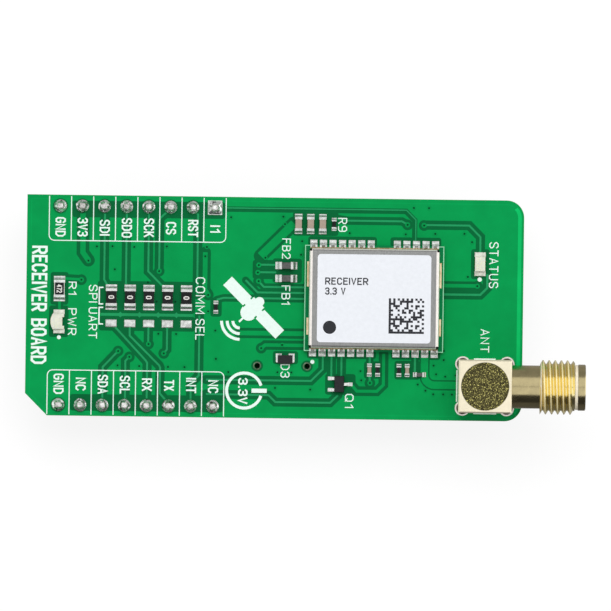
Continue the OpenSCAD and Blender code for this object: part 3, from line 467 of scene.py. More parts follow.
# Finishes

def new_finish(name, roughness, metallic=0.0, specular=0.5):
    """Material and its shader, with the values that are the same all over."""
    finish = bpy.data.materials.get(name)
    if finish:
        bpy.data.materials.remove(finish)
    finish = bpy.data.materials.new(name)
    finish.use_nodes = True
    shader = finish.node_tree.nodes["Principled BSDF"]
    shader.inputs["Roughness"].default_value = roughness
    shader.inputs["Metallic"].default_value = metallic
    shader.inputs["Specular IOR Level"].default_value = specular
    return finish, shader


def add_node(owner, kind):
    """New node of a material or a world."""
    return owner.node_tree.nodes.new(f"ShaderNode{kind}")


def feed(owner, value, socket):
    """Sets a socket to a number, or links it to an output."""
    if isinstance(value, (int, float)):
        socket.default_value = value
    else:
        owner.node_tree.links.new(value, socket)


def map_range(owner, value, low, high, start=0, end=1):
    """Number that goes from low to high as the value goes from start to end."""
    node = add_node(owner, "MapRange")
    names = ("Value", "From Min", "From Max", "To Min", "To Max")
    for name, number in zip(names, (value, start, end, low, high)):
        feed(owner, number, node.inputs[name])
    return node.outputs["Result"]


def math_node(finish, operation, first, second=0):
    """Sum on a socket and a number or another socket."""
    node = add_node(finish, "Math")
    node.operation = operation
    feed(finish, first, node.inputs[0])
    feed(finish, second, node.inputs[1])
    return node.outputs["Value"]


def place_mm(finish, stretch=(1, 1, 1)):
    """Object coordinates in millimetres, stretched along the axes."""
    where = add_node(finish, "TexCoord")
    scaled = add_node(finish, "Mapping")
    scaled.inputs["Scale"].default_value = [value / MM for value in stretch]
    feed(finish, where.outputs["Object"], scaled.inputs["Vector"])
    return scaled.outputs["Vector"]


def axis_place(finish, axis):
    """Place along one axis, in millimetres."""
    split = add_node(finish, "SeparateXYZ")
    feed(finish, place_mm(finish), split.inputs["Vector"])
    return split.outputs[axis]


def blend_colours(finish, share, first, second):
    """Colour that goes from the first to the second as the share goes from 0 to 1."""
    mix = add_node(finish, "Mix")
    mix.data_type = "RGBA"
    feed(finish, share, mix.inputs["Factor"])
    feed(finish, first, mix.inputs["A"])
    feed(finish, second, mix.inputs["B"])
    return mix.outputs["Result"]


def from_middle(finish, axis, middle):
    """Distance from a place along one axis, in millimetres."""
    return math_node(finish, "ABSOLUTE", math_node(finish, "ADD", axis_place(finish, axis), -middle))


def grain(finish, per_mm, stretch=(1, 1, 1), detail=3.0):
    """Cloudy grain with so many lumps in a millimetre."""
    cloud = add_node(finish, "TexNoise")
    cloud.inputs["Scale"].default_value = per_mm
    cloud.inputs["Detail"].default_value = detail
    cloud.inputs["Roughness"].default_value = 0.55
    feed(finish, place_mm(finish, stretch), cloud.inputs["Vector"])
    return cloud.outputs["Fac"]


def crystals(finish, per_mm):
    """Sharp-edged grain, one value for each crystal."""
    cells = add_node(finish, "TexVoronoi")
    cells.inputs["Scale"].default_value = per_mm
    feed(finish, place_mm(finish), cells.inputs["Vector"])
    split = add_node(finish, "SeparateColor")
    feed(finish, cells.outputs["Color"], split.inputs["Color"])
    return split.outputs["Red"]


def ramp(finish, share, stops):
    """Colour between stops of place and colour."""
    node = add_node(finish, "ValToRGB")
    while len(node.color_ramp.elements) < len(stops):
        node.color_ramp.elements.new(0.5)
    for element, (place, colour) in zip(node.color_ramp.elements, stops):
        element.position = place
        element.color = (*colour[:3], 1)
    feed(finish, share, node.inputs["Fac"])
    return node.outputs["Color"]


def tint(finish, shader, share, dark, light, low=0.3, high=0.7):
    """Base colour that drifts between two colours."""
    colour = ramp(finish, share, [(low, dark), (high, light)])
    feed(finish, colour, shader.inputs["Base Color"])
    return colour


def wear(finish, shader, share, low, high):
    """Roughness that drifts between two values."""
    feed(finish, map_range(finish, share, low, high), shader.inputs["Roughness"])


def relief(finish, shader, share, depth_mm, strength):
    """Fine bumps in the surface."""
    node = add_node(finish, "Bump")
    node.inputs["Distance"].default_value = depth_mm * MM
    node.inputs["Strength"].default_value = strength
    feed(finish, share, node.inputs["Height"])
    feed(finish, node.outputs["Normal"], shader.inputs["Normal"])


def shade(colour, factor):
    """Darker or lighter copy of a colour."""
    return [min(value * factor, 1) for value in colour[:3]]


def mask_finish(name, colour, core=None, low=0.0, high=0.0):
    """Solder mask, with the bare edge of the laminate where core is given."""
    finish, shader = new_finish(name, 0.42, specular=0.03)
    cloud = grain(finish, 0.35, detail=4)
    skin = tint(finish, shader, cloud, shade(colour, 0.92), shade(colour, 1.07))
    if core:
        height = axis_place(finish, "Z")
        skin_h = 0.06
        above = math_node(finish, "GREATER_THAN", height, low + skin_h)
        below = math_node(finish, "LESS_THAN", height, high - skin_h)
        edge = math_node(finish, "MULTIPLY", above, below)
        fibre = ramp(finish, grain(finish, 3, (1, 1, 6)), [(0.35, shade(core, 0.75)), (0.65, core)])
        feed(finish, blend_colours(finish, edge, skin, fibre), shader.inputs["Base Color"])
    wear(finish, shader, grain(finish, 1.2), 0.36, 0.5)
    relief(finish, shader, grain(finish, 7), 0.006, 0.25)
    return finish


def metal_finish(name, dark, light, roughness, lumps, depth, metallic=1.0):
    """Metal with a drifting tone, uneven polish and fine bumps."""
    finish, shader = new_finish(name, roughness, metallic)
    tint(finish, shader, grain(finish, lumps), dark, light)
    wear(finish, shader, grain(finish, lumps * 1.7), roughness * 0.75, roughness * 1.3)
    relief(finish, shader, grain(finish, lumps * 2.3), depth, 0.4)
    return finish


def body_finish(name, dark, light, roughness, lumps, specular=0.5):
    """Moulded or fired body with a fine grain."""
    finish, shader = new_finish(name, roughness, specular=specular)
    tint(finish, shader, grain(finish, lumps), dark, light)
    wear(finish, shader, grain(finish, lumps * 0.6), roughness * 0.85, roughness * 1.15)
    relief(finish, shader, grain(finish, lumps * 2), 0.004, 0.3)
    return finish


def cap_finish(light, dark):
    """Grainy plated cap with dark grains and a few bright crystals."""
    finish, shader = new_finish("cap_plate", 0.5, 0.25, 0.2)
    cell = crystals(finish, 15)
    stops = [(0.15, dark), (0.62, shade(light, 0.085)), (0.86, shade(light, 0.17)), (0.98, light)]
    colour = ramp(finish, cell, stops)
    feed(finish, colour, shader.inputs["Base Color"])
    wear(finish, shader, cell, 0.3, 0.7)
    relief(finish, shader, grain(finish, 9), 0.05, 0.6)
    return finish


def can_finish(colour, fold_highlight):
    """Brushed sheet of the can, with a painted highlight along its folds."""
    finish, shader = new_finish("shield_metal", 0.4, 0.85)
    brushed = grain(finish, 2.2, (7, 1, 1), detail=5)
    flat = ramp(finish, brushed, [(0.3, shade(colour, 0.72)), (0.7, colour)])
    # Painted highlight: the folds get a near-white colour and less metal, so they read bright under any light
    bright = ramp(finish, brushed, [(0.3, shade(fold_highlight, 0.86)), (0.6, fold_highlight)])
    middle, half = (CAN_LOW + CAN_HIGH) / 2, (CAN_HIGH - CAN_LOW) / 2
    sides = []
    for axis, place, limit in (("X", middle.x, half.x - CAN_FOLD_HIGHLIGHT_X), ("Y", middle.y, half.y - CAN_FOLD_HIGHLIGHT_Y)):
        sides.append(math_node(finish, "GREATER_THAN", from_middle(finish, axis, place), limit))
    fold_highlight_share = math_node(finish, "MAXIMUM", sides[0], sides[1])
    feed(finish, blend_colours(finish, fold_highlight_share, flat, bright), shader.inputs["Base Color"])
    feed(finish, map_range(finish, fold_highlight_share, 0.85, 0.5), shader.inputs["Metallic"])
    wear(finish, shader, brushed, 0.32, 0.46)
    relief(finish, shader, grain(finish, 4, (6, 1, 1)), 0.006, 0.4)
    return finish


def barrel_finish(gold, thread, start, end, centre, root, crest):
    """Gold plate of the barrel, with painted shade as a deeper gold in the grooves of its thread, and a
    painted highlight as pale, less metallic gold on its crests.
    """
    finish, shader = new_finish("barrel_gold", 0.2, 1)
    cloud = grain(finish, 0.9)
    plain = ramp(finish, cloud, [(0.3, shade(gold, 0.74)), (0.7, shade(gold, 0.92))])
    level = math_node(finish, "ADD", axis_place(finish, "Y"), -centre.y)
    height = math_node(finish, "ADD", axis_place(finish, "Z"), -centre.z)
    spread = math_node(finish, "ADD", math_node(finish, "MULTIPLY", level, level),
                       math_node(finish, "MULTIPLY", height, height))
    above = math_node(finish, "ADD", math_node(finish, "SQRT", spread), -root)
    climb = math_node(finish, "DIVIDE", above, crest - root)
    # Painted shade: the grooves take a deeper gold that stands in for light bouncing between the flanks
    groove = [thread[0] * 0.98, thread[1] * 0.98, thread[2] * 0.9]
    cut = ramp(finish, climb, [(0, groove), (0.5, groove), (0.9, thread)])
    # Painted highlight: the crests turn pale and less metallic, so they read as bright lines
    feed(finish, map_range(finish, climb, 1, 0.3, 0.72, 0.95), shader.inputs["Metallic"])
    along = axis_place(finish, "X")
    after = math_node(finish, "GREATER_THAN", along, start)
    before = math_node(finish, "LESS_THAN", along, end)
    inside = math_node(finish, "MULTIPLY", after, before)
    feed(finish, blend_colours(finish, inside, plain, cut), shader.inputs["Base Color"])
    wear(finish, shader, grain(finish, 1.5), 0.15, 0.26)
    return finish


def joint_finish(light):
    """Bright solder with painted reflections: random dark patches and bright glints in its colour."""
    finish, shader = new_finish("joint_solder", 0.2, 0.9)
    reflection_blotch = grain(finish, 2.7, detail=2)
    # Painted reflection: noise sets the dark patches and the bright glints
    colour = ramp(finish, reflection_blotch, [(0.31, tone(70, 66, 58)), (0.41, shade(light, 0.55)), (0.49, light)])
    feed(finish, colour, shader.inputs["Base Color"])
    wear(finish, shader, grain(finish, 4), 0.12, 0.3)
    relief(finish, shader, grain(finish, 5), 0.04, 0.5)
    return finish


def leg_joint_finish(centre, spread, foot):
    """Solder of the jack's legs, with painted shade beside the leg and a painted highlight at the rim."""
    finish, shader = new_finish("leg_joint", 0.3, 0.6)
    squares = []
    for axis, middle in (("X", centre.x), ("Y", centre.y)):
        from_leg = math_node(finish, "ADD", from_middle(finish, axis, middle), -spread)
        squares.append(math_node(finish, "MULTIPLY", from_leg, from_leg))
    reach = math_node(finish, "SQRT", math_node(finish, "ADD", squares[0], squares[1]))
    share = math_node(finish, "DIVIDE", reach, foot)
    # Painted shade and highlight: dark next to the leg, bright towards the rim
    tint(finish, shader, share, tone(88, 66, 56), tone(236, 228, 222), 0.76, 0.93)
    wear(finish, shader, grain(finish, 3), 0.2, 0.36)
    relief(finish, shader, grain(finish, 6), 0.03, 0.4)
    return finish


def lens_finish(colour):
    """Pale clear epoxy over a bright base."""
    finish, shader = new_finish("lens", 0.25, specular=0.45)
    shader.inputs["Subsurface Weight"].default_value = 0.35
    shader.inputs["Subsurface Radius"].default_value = (0.0006, 0.0005, 0.0003)
    shader.inputs["Coat Weight"].default_value = 0.4
    shader.inputs["Coat Roughness"].default_value = 0.1
    tint(finish, shader, grain(finish, 1.3), shade(colour, 0.86), colour)
    wear(finish, shader, grain(finish, 4), 0.2, 0.34)
    return finish


# Sizes and colours that a user would change

class BoardLook(bpy.types.PropertyGroup):
    """Colours of the circuit board and its print."""

    mask: FloatVectorProperty(
        name="Mask", description="Solder mask over joined copper", subtype="COLOR", default=tone(2, 150, 76))
    bare: FloatVectorProperty(
        name="Bare Mask", description="Solder mask where there is no copper", subtype="COLOR",
        default=tone(4, 101, 54))
    line: FloatVectorProperty(
        name="Line", description="Solder mask over a copper line", subtype="COLOR", default=tone(34, 150, 92))
    edge: FloatVectorProperty(
        name="Edge Strip", description="Strip beside the right-hand edge", subtype="COLOR",
        default=tone(10, 186, 98))
    core: FloatVectorProperty(
        name="Laminate", description="Cut edge of the board", subtype="COLOR", default=tone(120, 142, 70))
    via: FloatVectorProperty(
        name="Via", description="Filled hole of a via", subtype="COLOR", default=tone(2, 62, 32))
    print: FloatVectorProperty(
        name="Print", description="Printed marks", subtype="COLOR", default=tone(234, 250, 243))
    print_width: FloatProperty(
        name="Print Width", description="Width of the printed lines", unit="LENGTH", default=0.12 * MM)
    via_radius: FloatProperty(
        name="Via Radius", description="Radius of a via's dark middle", unit="LENGTH", default=0.12 * MM)


class PartLook(bpy.types.PropertyGroup):
    """Colours of the parts on the board."""

    tin: FloatVectorProperty(
        name="Tin", description="Tinned lands and terminals", subtype="COLOR", default=tone(244, 247, 244))
    solder: FloatVectorProperty(
        name="Solder", description="Solder joints", subtype="COLOR", default=tone(240, 243, 240))
    can: FloatVectorProperty(
        name="Can", description="Shield can", subtype="COLOR", default=tone(163, 164, 163))
    label: FloatVectorProperty(
        name="Label", description="Label on the can", subtype="COLOR", default=tone(234, 237, 243))
    ink: FloatVectorProperty(
        name="Ink", description="Ink on the label", subtype="COLOR", default=tone(44, 45, 50))
    package: FloatVectorProperty(
        name="Package", description="Moulded packages", subtype="COLOR", default=tone(27, 26, 30))
    capacitor: FloatVectorProperty(
        name="Capacitor", description="Capacitor ceramic", subtype="COLOR", default=tone(170, 153, 136))
    lamp: FloatVectorProperty(
        name="Lamp", description="Lens of the lamps", subtype="COLOR", default=tone(228, 229, 211))


class JackLook(bpy.types.PropertyGroup):
    """Sizes and colours of the antenna jack."""

    gold: FloatVectorProperty(
        name="Gold", description="Plating of barrel and pins", subtype="COLOR", default=tone(208, 193, 146))
    # The thread colour is the pale crest colour: barrel_finish uses it as a painted highlight on the crests
    # and deepens it as painted shade in the grooves
    thread: FloatVectorProperty(
        name="Thread", description="Plating of the cut thread", subtype="COLOR", default=tone(255, 239, 184))
    block: FloatVectorProperty(
        name="Block", description="Plating of the block", subtype="COLOR", default=tone(247, 237, 209))
    cap: FloatVectorProperty(
        name="Cap", description="Bright crystals of the cap", subtype="COLOR", default=tone(236, 226, 134))
    thread_pitch: FloatProperty(
        name="Thread Pitch", description="Distance between the crests of the thread", unit="LENGTH",
        default=25.4 / 36 * MM)
    thread_depth: FloatProperty(
        name="Thread Depth", description="Depth of the thread", unit="LENGTH", default=0.43 * MM)


class StageLook(bpy.types.PropertyGroup):
    """Camera, floor and light."""

    picture_width: FloatProperty(
        name="Picture Width", description="Width that the camera sees at the board", unit="LENGTH",
        default=70.27 * MM)
    camera_height: FloatProperty(
        name="Camera Height", description="Height of the camera above the board", unit="LENGTH", default=2.0)
    camera_turn: FloatProperty(
        name="Camera Turn", description="Turn of the picture", subtype="ANGLE", default=math.radians(0.75))
    floor: FloatVectorProperty(
        name="Floor", description="Colour of the floor", subtype="COLOR", default=(0.19, 0.19, 0.19))
    floor_lift: FloatProperty(
        name="Floor Lift", description="Brightness that the camera sees on the floor without light",
        default=0.83)
    sky: FloatProperty(
        name="Sky", description="Strength of the even light", default=0.6)
    gloom: FloatProperty(
        name="Gloom", description="Brightness of the surroundings in reflections", default=0.36)
    lamp: FloatProperty(
        name="Lamp", description="Power of the large lamp", unit="POWER", default=4.5)


LOOKS = {"board": BoardLook, "part": PartLook, "jack": JackLook, "stage": StageLook}


def look(name):
    """The settings of one group."""
    return getattr(bpy.context.scene, f"receiver_{name}")


# Board

def line_vias():
    """Vias at the end of a copper line."""
    ends = [end for _, _, points in COPPER_LINES for end in (points[0], points[-1])]
    return [via for via in VIAS if any(math.dist(via, end) < 0.2 for end in ends)]


class RECEIVER_OT_finishes(bpy.types.Operator):
    """Give every solid its finish, by its material slot or its own name"""

    bl_idname = "receiver.finishes"
    bl_label = "Finish Solids"

    def execute(self, context):
        board, part, jack = look("board"), look("part"), look("jack")
        # Dark and light tone, roughness, lumps in a millimetre, depth of the bumps, share of metal
        metals = {
            "tinned_land": (shade(part.tin, 0.46), part.tin, 0.3, 1.9, 0.02, 0.8),
            "solder": (shade(part.solder, 0.5), part.solder, 0.24, 3.4, 0.03, 0.85),
            "gold_plate": (shade(jack.gold, 0.78), jack.gold, 0.22, 0.9, 0.004, 1),
            "oscillator_lid": (tone(150, 146, 134), tone(196, 192, 180), 0.35, 2, 0.004, 1),
            "jack_plate": (shade(jack.block, 0.9), jack.block, 0.36, 0.6, 0.004, 0.6),
            "terminal_tin": (shade(part.tin, 0.62), part.tin, 0.26, 2, 0.012, 0.85),
            "lead_tin": (shade(part.tin, 0.75), tone(255, 255, 252), 0.28, 2, 0.01, 0.45),
            "contact_solder": (shade(part.tin, 0.5), part.tin, 0.26, 3.4, 0.03, 0.6),
            "can_joint": (tone(206, 176, 128), tone(242, 222, 186), 0.35, 1.4, 0.02, 0.5),
        }
        # Dark and light tone, roughness, lumps in a millimetre, gloss
        bodies = {
            "header_plastic": (tone(20, 20, 21), tone(34, 34, 35), 0.5, 3, 0.35),
            "label_paper": (shade(part.label, 0.95), part.label, 0.6, 2.5, 0.25),
            "package_black": (shade(part.package, 0.7), shade(part.package, 1.25), 0.5, 6, 0.3),
            "ceramic": (tone(214, 210, 202), tone(238, 236, 230), 0.5, 3, 0.35),
            "glaze": (tone(18, 19, 20), tone(31, 32, 33), 0.42, 4, 0.14),
            "ferrite": (tone(64, 64, 64), tone(92, 92, 90), 0.45, 4, 0.35),
            "capacitor_ceramic": (shade(part.capacitor, 0.84), part.capacitor, 0.45, 0.8, 0.35),
            "insulator": (tone(226, 226, 222), tone(242, 242, 238), 0.4, 2, 0.3),
            "lamp_tin": (tone(188, 190, 176), tone(236, 236, 226), 0.4, 2.6, 0.4),
        }
        leg_spread = (JACK_HIGH.y - JACK_LOW.y - LEG_W) / 2
        leg_foot = (JOINTS_HIGH.y - JOINTS_LOW.y) / 2 - leg_spread
        finishes = {
            "board_mask": mask_finish("board_mask", board.mask, board.core, BOARD_LOW.z, BOARD_HIGH.z),
            "module_mask": mask_finish("module_mask", tone(8, 118, 66), tone(52, 150, 96),
                                       SUBSTRATE_LOW.z, SUBSTRATE_HIGH.z),
            # The second colour is the painted highlight along the can's folds
            "shield_metal": can_finish(part.can, tone(250, 244, 238)),
            "lens": lens_finish(part.lamp),
            "cap_plate": cap_finish(jack.cap, tone(40, 34, 8)),
            "leg_joint": leg_joint_finish((JACK_LOW + JACK_HIGH) / 2, leg_spread, leg_foot),
        }
        finishes.update((name, metal_finish(name, *values)) for name, values in metals.items())
        finishes.update((name, body_finish(name, *values)) for name, values in bodies.items())
        # Solids whose finish isn't that of their slot
        own = {
            "power_led_terminals": "lamp_tin",
            "status_led_terminals": "lamp_tin",
            "diode_terminals": "lead_tin",
            "transistor_leads": "lead_tin",
            "jack_solder": "leg_joint",
            "module_solder": "contact_solder",
            "can_solder": "can_joint",
        }
        for subpart in frame["record"]["subparts"]:
            node = subpart["node"]
            usual = "terminal_tin" if node.endswith("_terminals") else subpart["material_slot"]
            for slot in frame["nodes"][node].material_slots:
                slot.material = finishes[own.get(node, usual)]
        return {"FINISHED"}


class RECEIVER_OT_bare_fields(bpy.types.Operator):
    """Draw the darker fields of the board that have no copper under the mask"""

    bl_idname = "receiver.bare_fields"
    bl_label = "Bare Fields"

    def execute(self, context):
        bm = bmesh.new()
        low = TOP - SUNK
        layers = Layers(TOP + GAP_LEVEL)
        for field in BARE_FIELDS:
            left, right, lower, upper = field
            patch(bm, field, 0.3, low, layers.over([(left, lower), (right, upper)]))
        width, points = BARE_BAND
        stroke(bm, points, width, low, layers.over(points, width / 2))
        for width, clear, points in COPPER_LINES:
            whole = width + 2 * clear
            stroke(bm, points, whole, low, layers.over(points, whole / 2))
            for x, y in (points[0], points[-1]):
                disc(bm, x, y, whole / 2, low, layers.over([(x, y)], whole / 2))
        for x, y in line_vias():
            disc(bm, x, y, END_CLEAR, low, layers.over([(x, y)], END_CLEAR))
        for x, y in TEST_HOLES:
            ring(bm, x, y, *TEST_CLEAR, low, layers.over([(x, y)], TEST_CLEAR[0]))
        finish = mask_finish("bare_mask", look("board").bare)
        make_piece("bare_fields", bm, finish)
        return {"FINISHED"}


class RECEIVER_OT_copper_lines(bpy.types.Operator):
    """Draw the copper lines that show through the mask"""

    bl_idname = "receiver.copper_lines"
    bl_label = "Copper Lines"

    def execute(self, context):
        lines = bmesh.new()
        strips = bmesh.new()
        low = TOP - SUNK
        layers = Layers(TOP + LINE_LEVEL)
        for width, _, points in COPPER_LINES:
            bm = lines if width < BROAD else strips
            stroke(bm, points, width, low, layers.over(points, width / 2))
        left, right, y = COMMON_STRIP
        strip = [(left, y), (right, y)]
        stroke(lines, strip, COMMON_W, low, layers.over(strip, COMMON_W / 2))
        for x in COMMON_DIAMONDS:
            disc(lines, x, y, DIAMOND_R, low, layers.over([(x, y)], DIAMOND_R), 4)
        for x, y in line_vias():
            disc(strips, x, y, VIA_PAD_R, low, layers.over([(x, y)], VIA_PAD_R))
        board = look("board")
        make_piece("copper_lines", lines, mask_finish("line_mask", board.line))
        make_piece("copper_strips", strips, mask_finish("strip_mask", board.mask))
        return {"FINISHED"}


class RECEIVER_OT_vias(bpy.types.Operator):
    """Set the small filled holes that join the copper layers, on both faces"""

    bl_idname = "receiver.vias"
    bl_label = "Vias"

    def execute(self, context):
        board = look("board")
        radius = board.via_radius / MM
        holes = bmesh.new()
        rims = bmesh.new()
        for x, y in VIAS:
            in_field = any(boxes_meet((x, x, y, y), field) for field in BARE_FIELDS)
            for low, step in ((TOP, 1), (BOARD_LOW.z, -1)):
                base = low - SUNK * step
                disc(holes, x, y, radius, base, low + VIA_LEVEL * step, 12)
                if step < 0 or not in_field:
                    ring(rims, x, y, radius * 2.1, radius, base, low + (VIA_LEVEL + LAYER_STEP) * step, 12)
        lips = bmesh.new()
        for x, y in TEST_HOLES:
            ring(lips, x, y, *TEST_LIP, TOP - SUNK, TOP + LINE_LEVEL)
            # Dark cover under the test hole: painted shade seen inside the hole
            disc(holes, x, y, TEST_SHADE_COVER_R, BOARD_LOW.z - LINE_LEVEL, BOARD_LOW.z + SUNK)
        finish = metal_finish("hole_lip", tone(70, 84, 68), tone(128, 138, 120), 0.4, 3, 0.01)
        make_piece("hole_lips", lips, finish)
        make_piece("via_holes", holes, mask_finish("via_mask", board.via))
        make_piece("via_rims", rims, mask_finish("rim_mask", shade(board.mask, 0.9)))
        return {"FINISHED"}


class RECEIVER_OT_edge_strip(bpy.types.Operator):
    """Lay the lighter strip along the board's edges, broad on the right"""

    bl_idname = "receiver.edge_strip"
    bl_label = "Edge Strip"

    def execute(self, context):
        bm = bmesh.new()
        bend = 2
        x = BOARD_HIGH.x - bend
        upper = BOARD_HIGH.y - bend
        lower = BOARD_LOW.y + bend
        inset = 0.48
        broad, narrow = 0.42, 0.14
        corners = arc(x, upper, bend - inset, 90, 0) + arc(x, lower, bend - inset, 0, -90)
        stroke(bm, corners[3:-3], broad, TOP - SUNK, TOP + GAP_LEVEL)
        left = BOARD_LOW.x + inset
        cut = PIN_X[0] - PITCH / 2 + 0.05
        path = corners[-3:] + [(cut, BOARD_LOW.y + inset), (left, BOARD_LOW.y + inset + cut - left)]
        path += [(left, BOARD_HIGH.y - inset)] + corners[:3]
        border = bmesh.new()
        stroke(border, path, narrow, TOP - SUNK, TOP + GAP_LEVEL / 2)
        board = look("board")
        make_piece("edge_strip", bm, mask_finish("edge_mask", board.edge))
        make_piece("edge_border", border, mask_finish("border_mask", shade(board.mask, 1.1)))
        return {"FINISHED"}


class RECEIVER_OT_board_print(bpy.types.Operator):
    """Print the header frames, part marks and signs on the board"""

    bl_idname = "receiver.board_print"
    bl_label = "Board Print"

    low = TOP - SUNK
    level = TOP + PRINT_LEVEL

    def header_frames(self, bm, width):
        """Frame, bars and pin names of both header rows."""
        for side, marks in ((1, UPPER_MARKS), (-1, LOWER_MARKS)):
            left = PIN_X[0] - PITCH / 2
            right = PIN_X[-1] + PITCH / 2
            inner = 7.45 * side
            outer = 12.55 * side
            bend = 0.62
            corner = inner + bend * side
            path = [(left, outer)]
            path += arc(left + bend, corner, bend, 180, 180 + 90 * side)
            path += arc(right - bend, corner, bend, -90 * side, 0)
            path += [(right, outer)]
            stroke(bm, path, width * 0.9, self.low, self.level)
            for x in PIN_X[:-1]:
                bar = [(x + PITCH / 2, inner), (x + PITCH / 2, outer)]
                stroke(bm, bar, width * 0.9, self.low, self.level + LAYER_STEP)
            for x, (words, upper, lower) in zip(PIN_X, marks):
                letters(bm, words, (x - 0.55, lower), (x + 0.63, upper), self.low, self.level, HEADER_PEN)

    def supply_sign(self, bm):
        """Supply voltage in an open ring with a tail."""
        x, y, radius = SUPPLY_RING
        stroke(bm, arc(x, y, radius, 17, 343, 30), 0.34, self.low, self.level)
        patch(bm, (x + 0.85, x + 2.6, y - 0.24, y + 0.24), 0, self.low, self.level)
        letters(bm, "3.3V", (x - 0.7, y - 1.55), (x + 0.4, y + 1.45), self.low, self.level, SUPPLY_PEN)

    def satellite_sign(self, bm):
        """Plain satellite: a body with two panels, a dish on a stem and three waves."""
        centre = Vector((13.47, 0))
        along = Vector((0.707, -0.707))
        across = Vector((0.707, 0.707))
        levels = Layers(self.level)

        def bar(start, end, width):
            ends = [tuple(centre + along * u + across * v) for u, v in (start, end)]
            stroke(bm, ends, width, self.low, levels.over(ends, width / 2))

        bar((-0.85, 0), (0.85, 0), 1.75)
        for side in (-1, 1):
            bar((0.85 * side, 0), (1.05 * side, 0), 0.9)
            bar((1.05 * side, 0), (4.3 * side, 0), 1.4)
        bump = centre + across * 0.95
        disc(bm, bump.x, bump.y, 0.55, self.low, levels.over([tuple(bump)], 0.55))
        dish = centre - across * 0.8
        bowl = arc(dish.x, dish.y, 0.95, 135, 315, 12)
        plate(bm, bowl, self.low, levels.over([tuple(dish)], 0.95))
        bar((0, -1.6), (0, -2.35), 0.22)
        source = centre - across * 2.22
        for radius in (0.8, 1.45, 2.1):
            stroke(bm, arc(source.x, source.y, radius, 180, 270, 10), 0.33, self.low, self.level)

    def execute(self, context):
        board = look("board")
        width = board.print_width / MM
        bm = bmesh.new()
        self.header_frames(bm, width)
        for words, left, right, upper, lower in PART_MARKS:
            letters(bm, words, (left, lower), (right, upper), self.low, self.level, width)
        for points in PRINT_LINES:
            stroke(bm, points, width + 0.03, self.low, self.level, 0.02)
        for x, y, radius in PRINT_DOTS:
            disc(bm, x, y, radius, self.low, self.level)
        self.supply_sign(bm)
        self.satellite_sign(bm)
        letters(bm, *TITLE, self.low, self.level, TITLE_PEN)
        finish = body_finish("print_ink", shade(board.print, 0.94), board.print, 0.55, 3, 0.2)
        make_piece("board_print", bm, finish)
        return {"FINISHED"}


# Headers

class RECEIVER_OT_header_joints(bpy.types.Operator):
    """Set a hollow, slightly uneven solder joint around every header pin"""

    bl_idname = "receiver.header_joints"
    bl_label = "Header Joints"

    foot = (SOLDER_HIGH.y - SOLDER_LOW.y) / 2 * 0.965
    height = SOLDER_HIGH.z - SOLDER_LOW.z
    # Shares of the foot's radius and of the height, from the land up the pin
    outline = [(1, 0), (0.96, 0.08), (0.82, 0.17), (0.7, 0.28), (0.59, 0.46), (0.52, 0.7), (0.48, 1)]

    def cone(self, bm, place, squared):
        """Uneven hollow cone of solder, with a square foot on a square land."""
        profile = [bm.verts.new((0, 0, 0))]
        profile += [bm.verts.new((self.foot * r, 0, self.height * z)) for r, z in self.outline]
        profile.append(bm.verts.new((0, 0, self.height)))
        edges = [bm.edges.new(pair) for pair in zip(profile, profile[1:])]
        old = set(bm.verts) - set(profile)
        bmesh.ops.spin(bm, geom=profile + edges, cent=(0, 0, 0), axis=(0, 0, 1), angle=2 * math.pi, steps=28,
                       use_merge=True, use_duplicate=False)
        lump = [v for v in bm.verts if v not in old]
        bmesh.ops.remove_doubles(bm, verts=lump, dist=0.001)
        for v in (v for v in bm.verts if v not in old):
            share = v.co.z / self.height
            swell = 0.5 * noise.noise(v.co * 2.8 + place * 3.1)
            rise = 0.7 * noise.noise(v.co * 2.2 + place * 5.3)
            wide = 1 + swell * min(share * 3, 1)
            reach = v.co.xy.length
            if squared and reach > 0.01:
                wide += (reach / max(abs(v.co.x), abs(v.co.y)) - 1) * max(1 - share * 2, 0)
            v.co = place + Vector((v.co.x * wide, v.co.y * wide, v.co.z * (1 + rise)))

    def tip(self, bm, place):
        """Rounded end of a pin, turned a little."""
        tip_w = PIN_W * 1.02
        tip_top = PINS_HIGH.z + 0.1
        tip_h = tip_top - place.z - self.height / 2
        shape = Matrix.Translation((place.x, place.y, tip_top - tip_h / 2))
        shape @= Matrix.Rotation(0.3 * noise.noise(place * 7.7), 4, "Z")
        rounded_block(bm, shape @ Matrix.Diagonal((tip_w, tip_w, tip_h, 1)), 0.18, 4)

    def execute(self, context):
        bm = bmesh.new()
        tips = bmesh.new()
        collars = bmesh.new()
        outer, inner = self.foot * 1.14, self.foot * 0.985
        for side in (1, -1):
            for x in PIN_X:
                place = Vector((x, ROW_Y * side, SOLDER_LOW.z))
                squared = side == 1 and x == PIN_X[-1]
                if not squared:
                    ring(collars, x, place.y, outer, inner, TOP - SUNK, SOLDER_LOW.z + 0.01)
                self.cone(bm, place, squared)
                self.tip(tips, place)
        piece = make_piece("header_joints", bm, joint_finish(look("part").solder), 60)
        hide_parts("header_solder_upper", "header_solder_lower")
        tip = metal_finish("pin_tip", tone(150, 148, 142), tone(253, 253, 251), 0.3, 2.4, 0.02, 0.4)
        make_piece("pin_tips", tips, tip, 60)
        make_piece("joint_collars", collars, bpy.data.materials["bare_mask"])
        return {"FINISHED"}


# Receiver module

def contact_places():
    """Places of the module's edge contacts along its long sides."""
    end = 1.0
    step = 1.1
    left = [SUBSTRATE_LOW.x + end + k * step for k in range(7)]
    right = [SUBSTRATE_HIGH.x - end - k * step for k in range(5)]
    return left + right


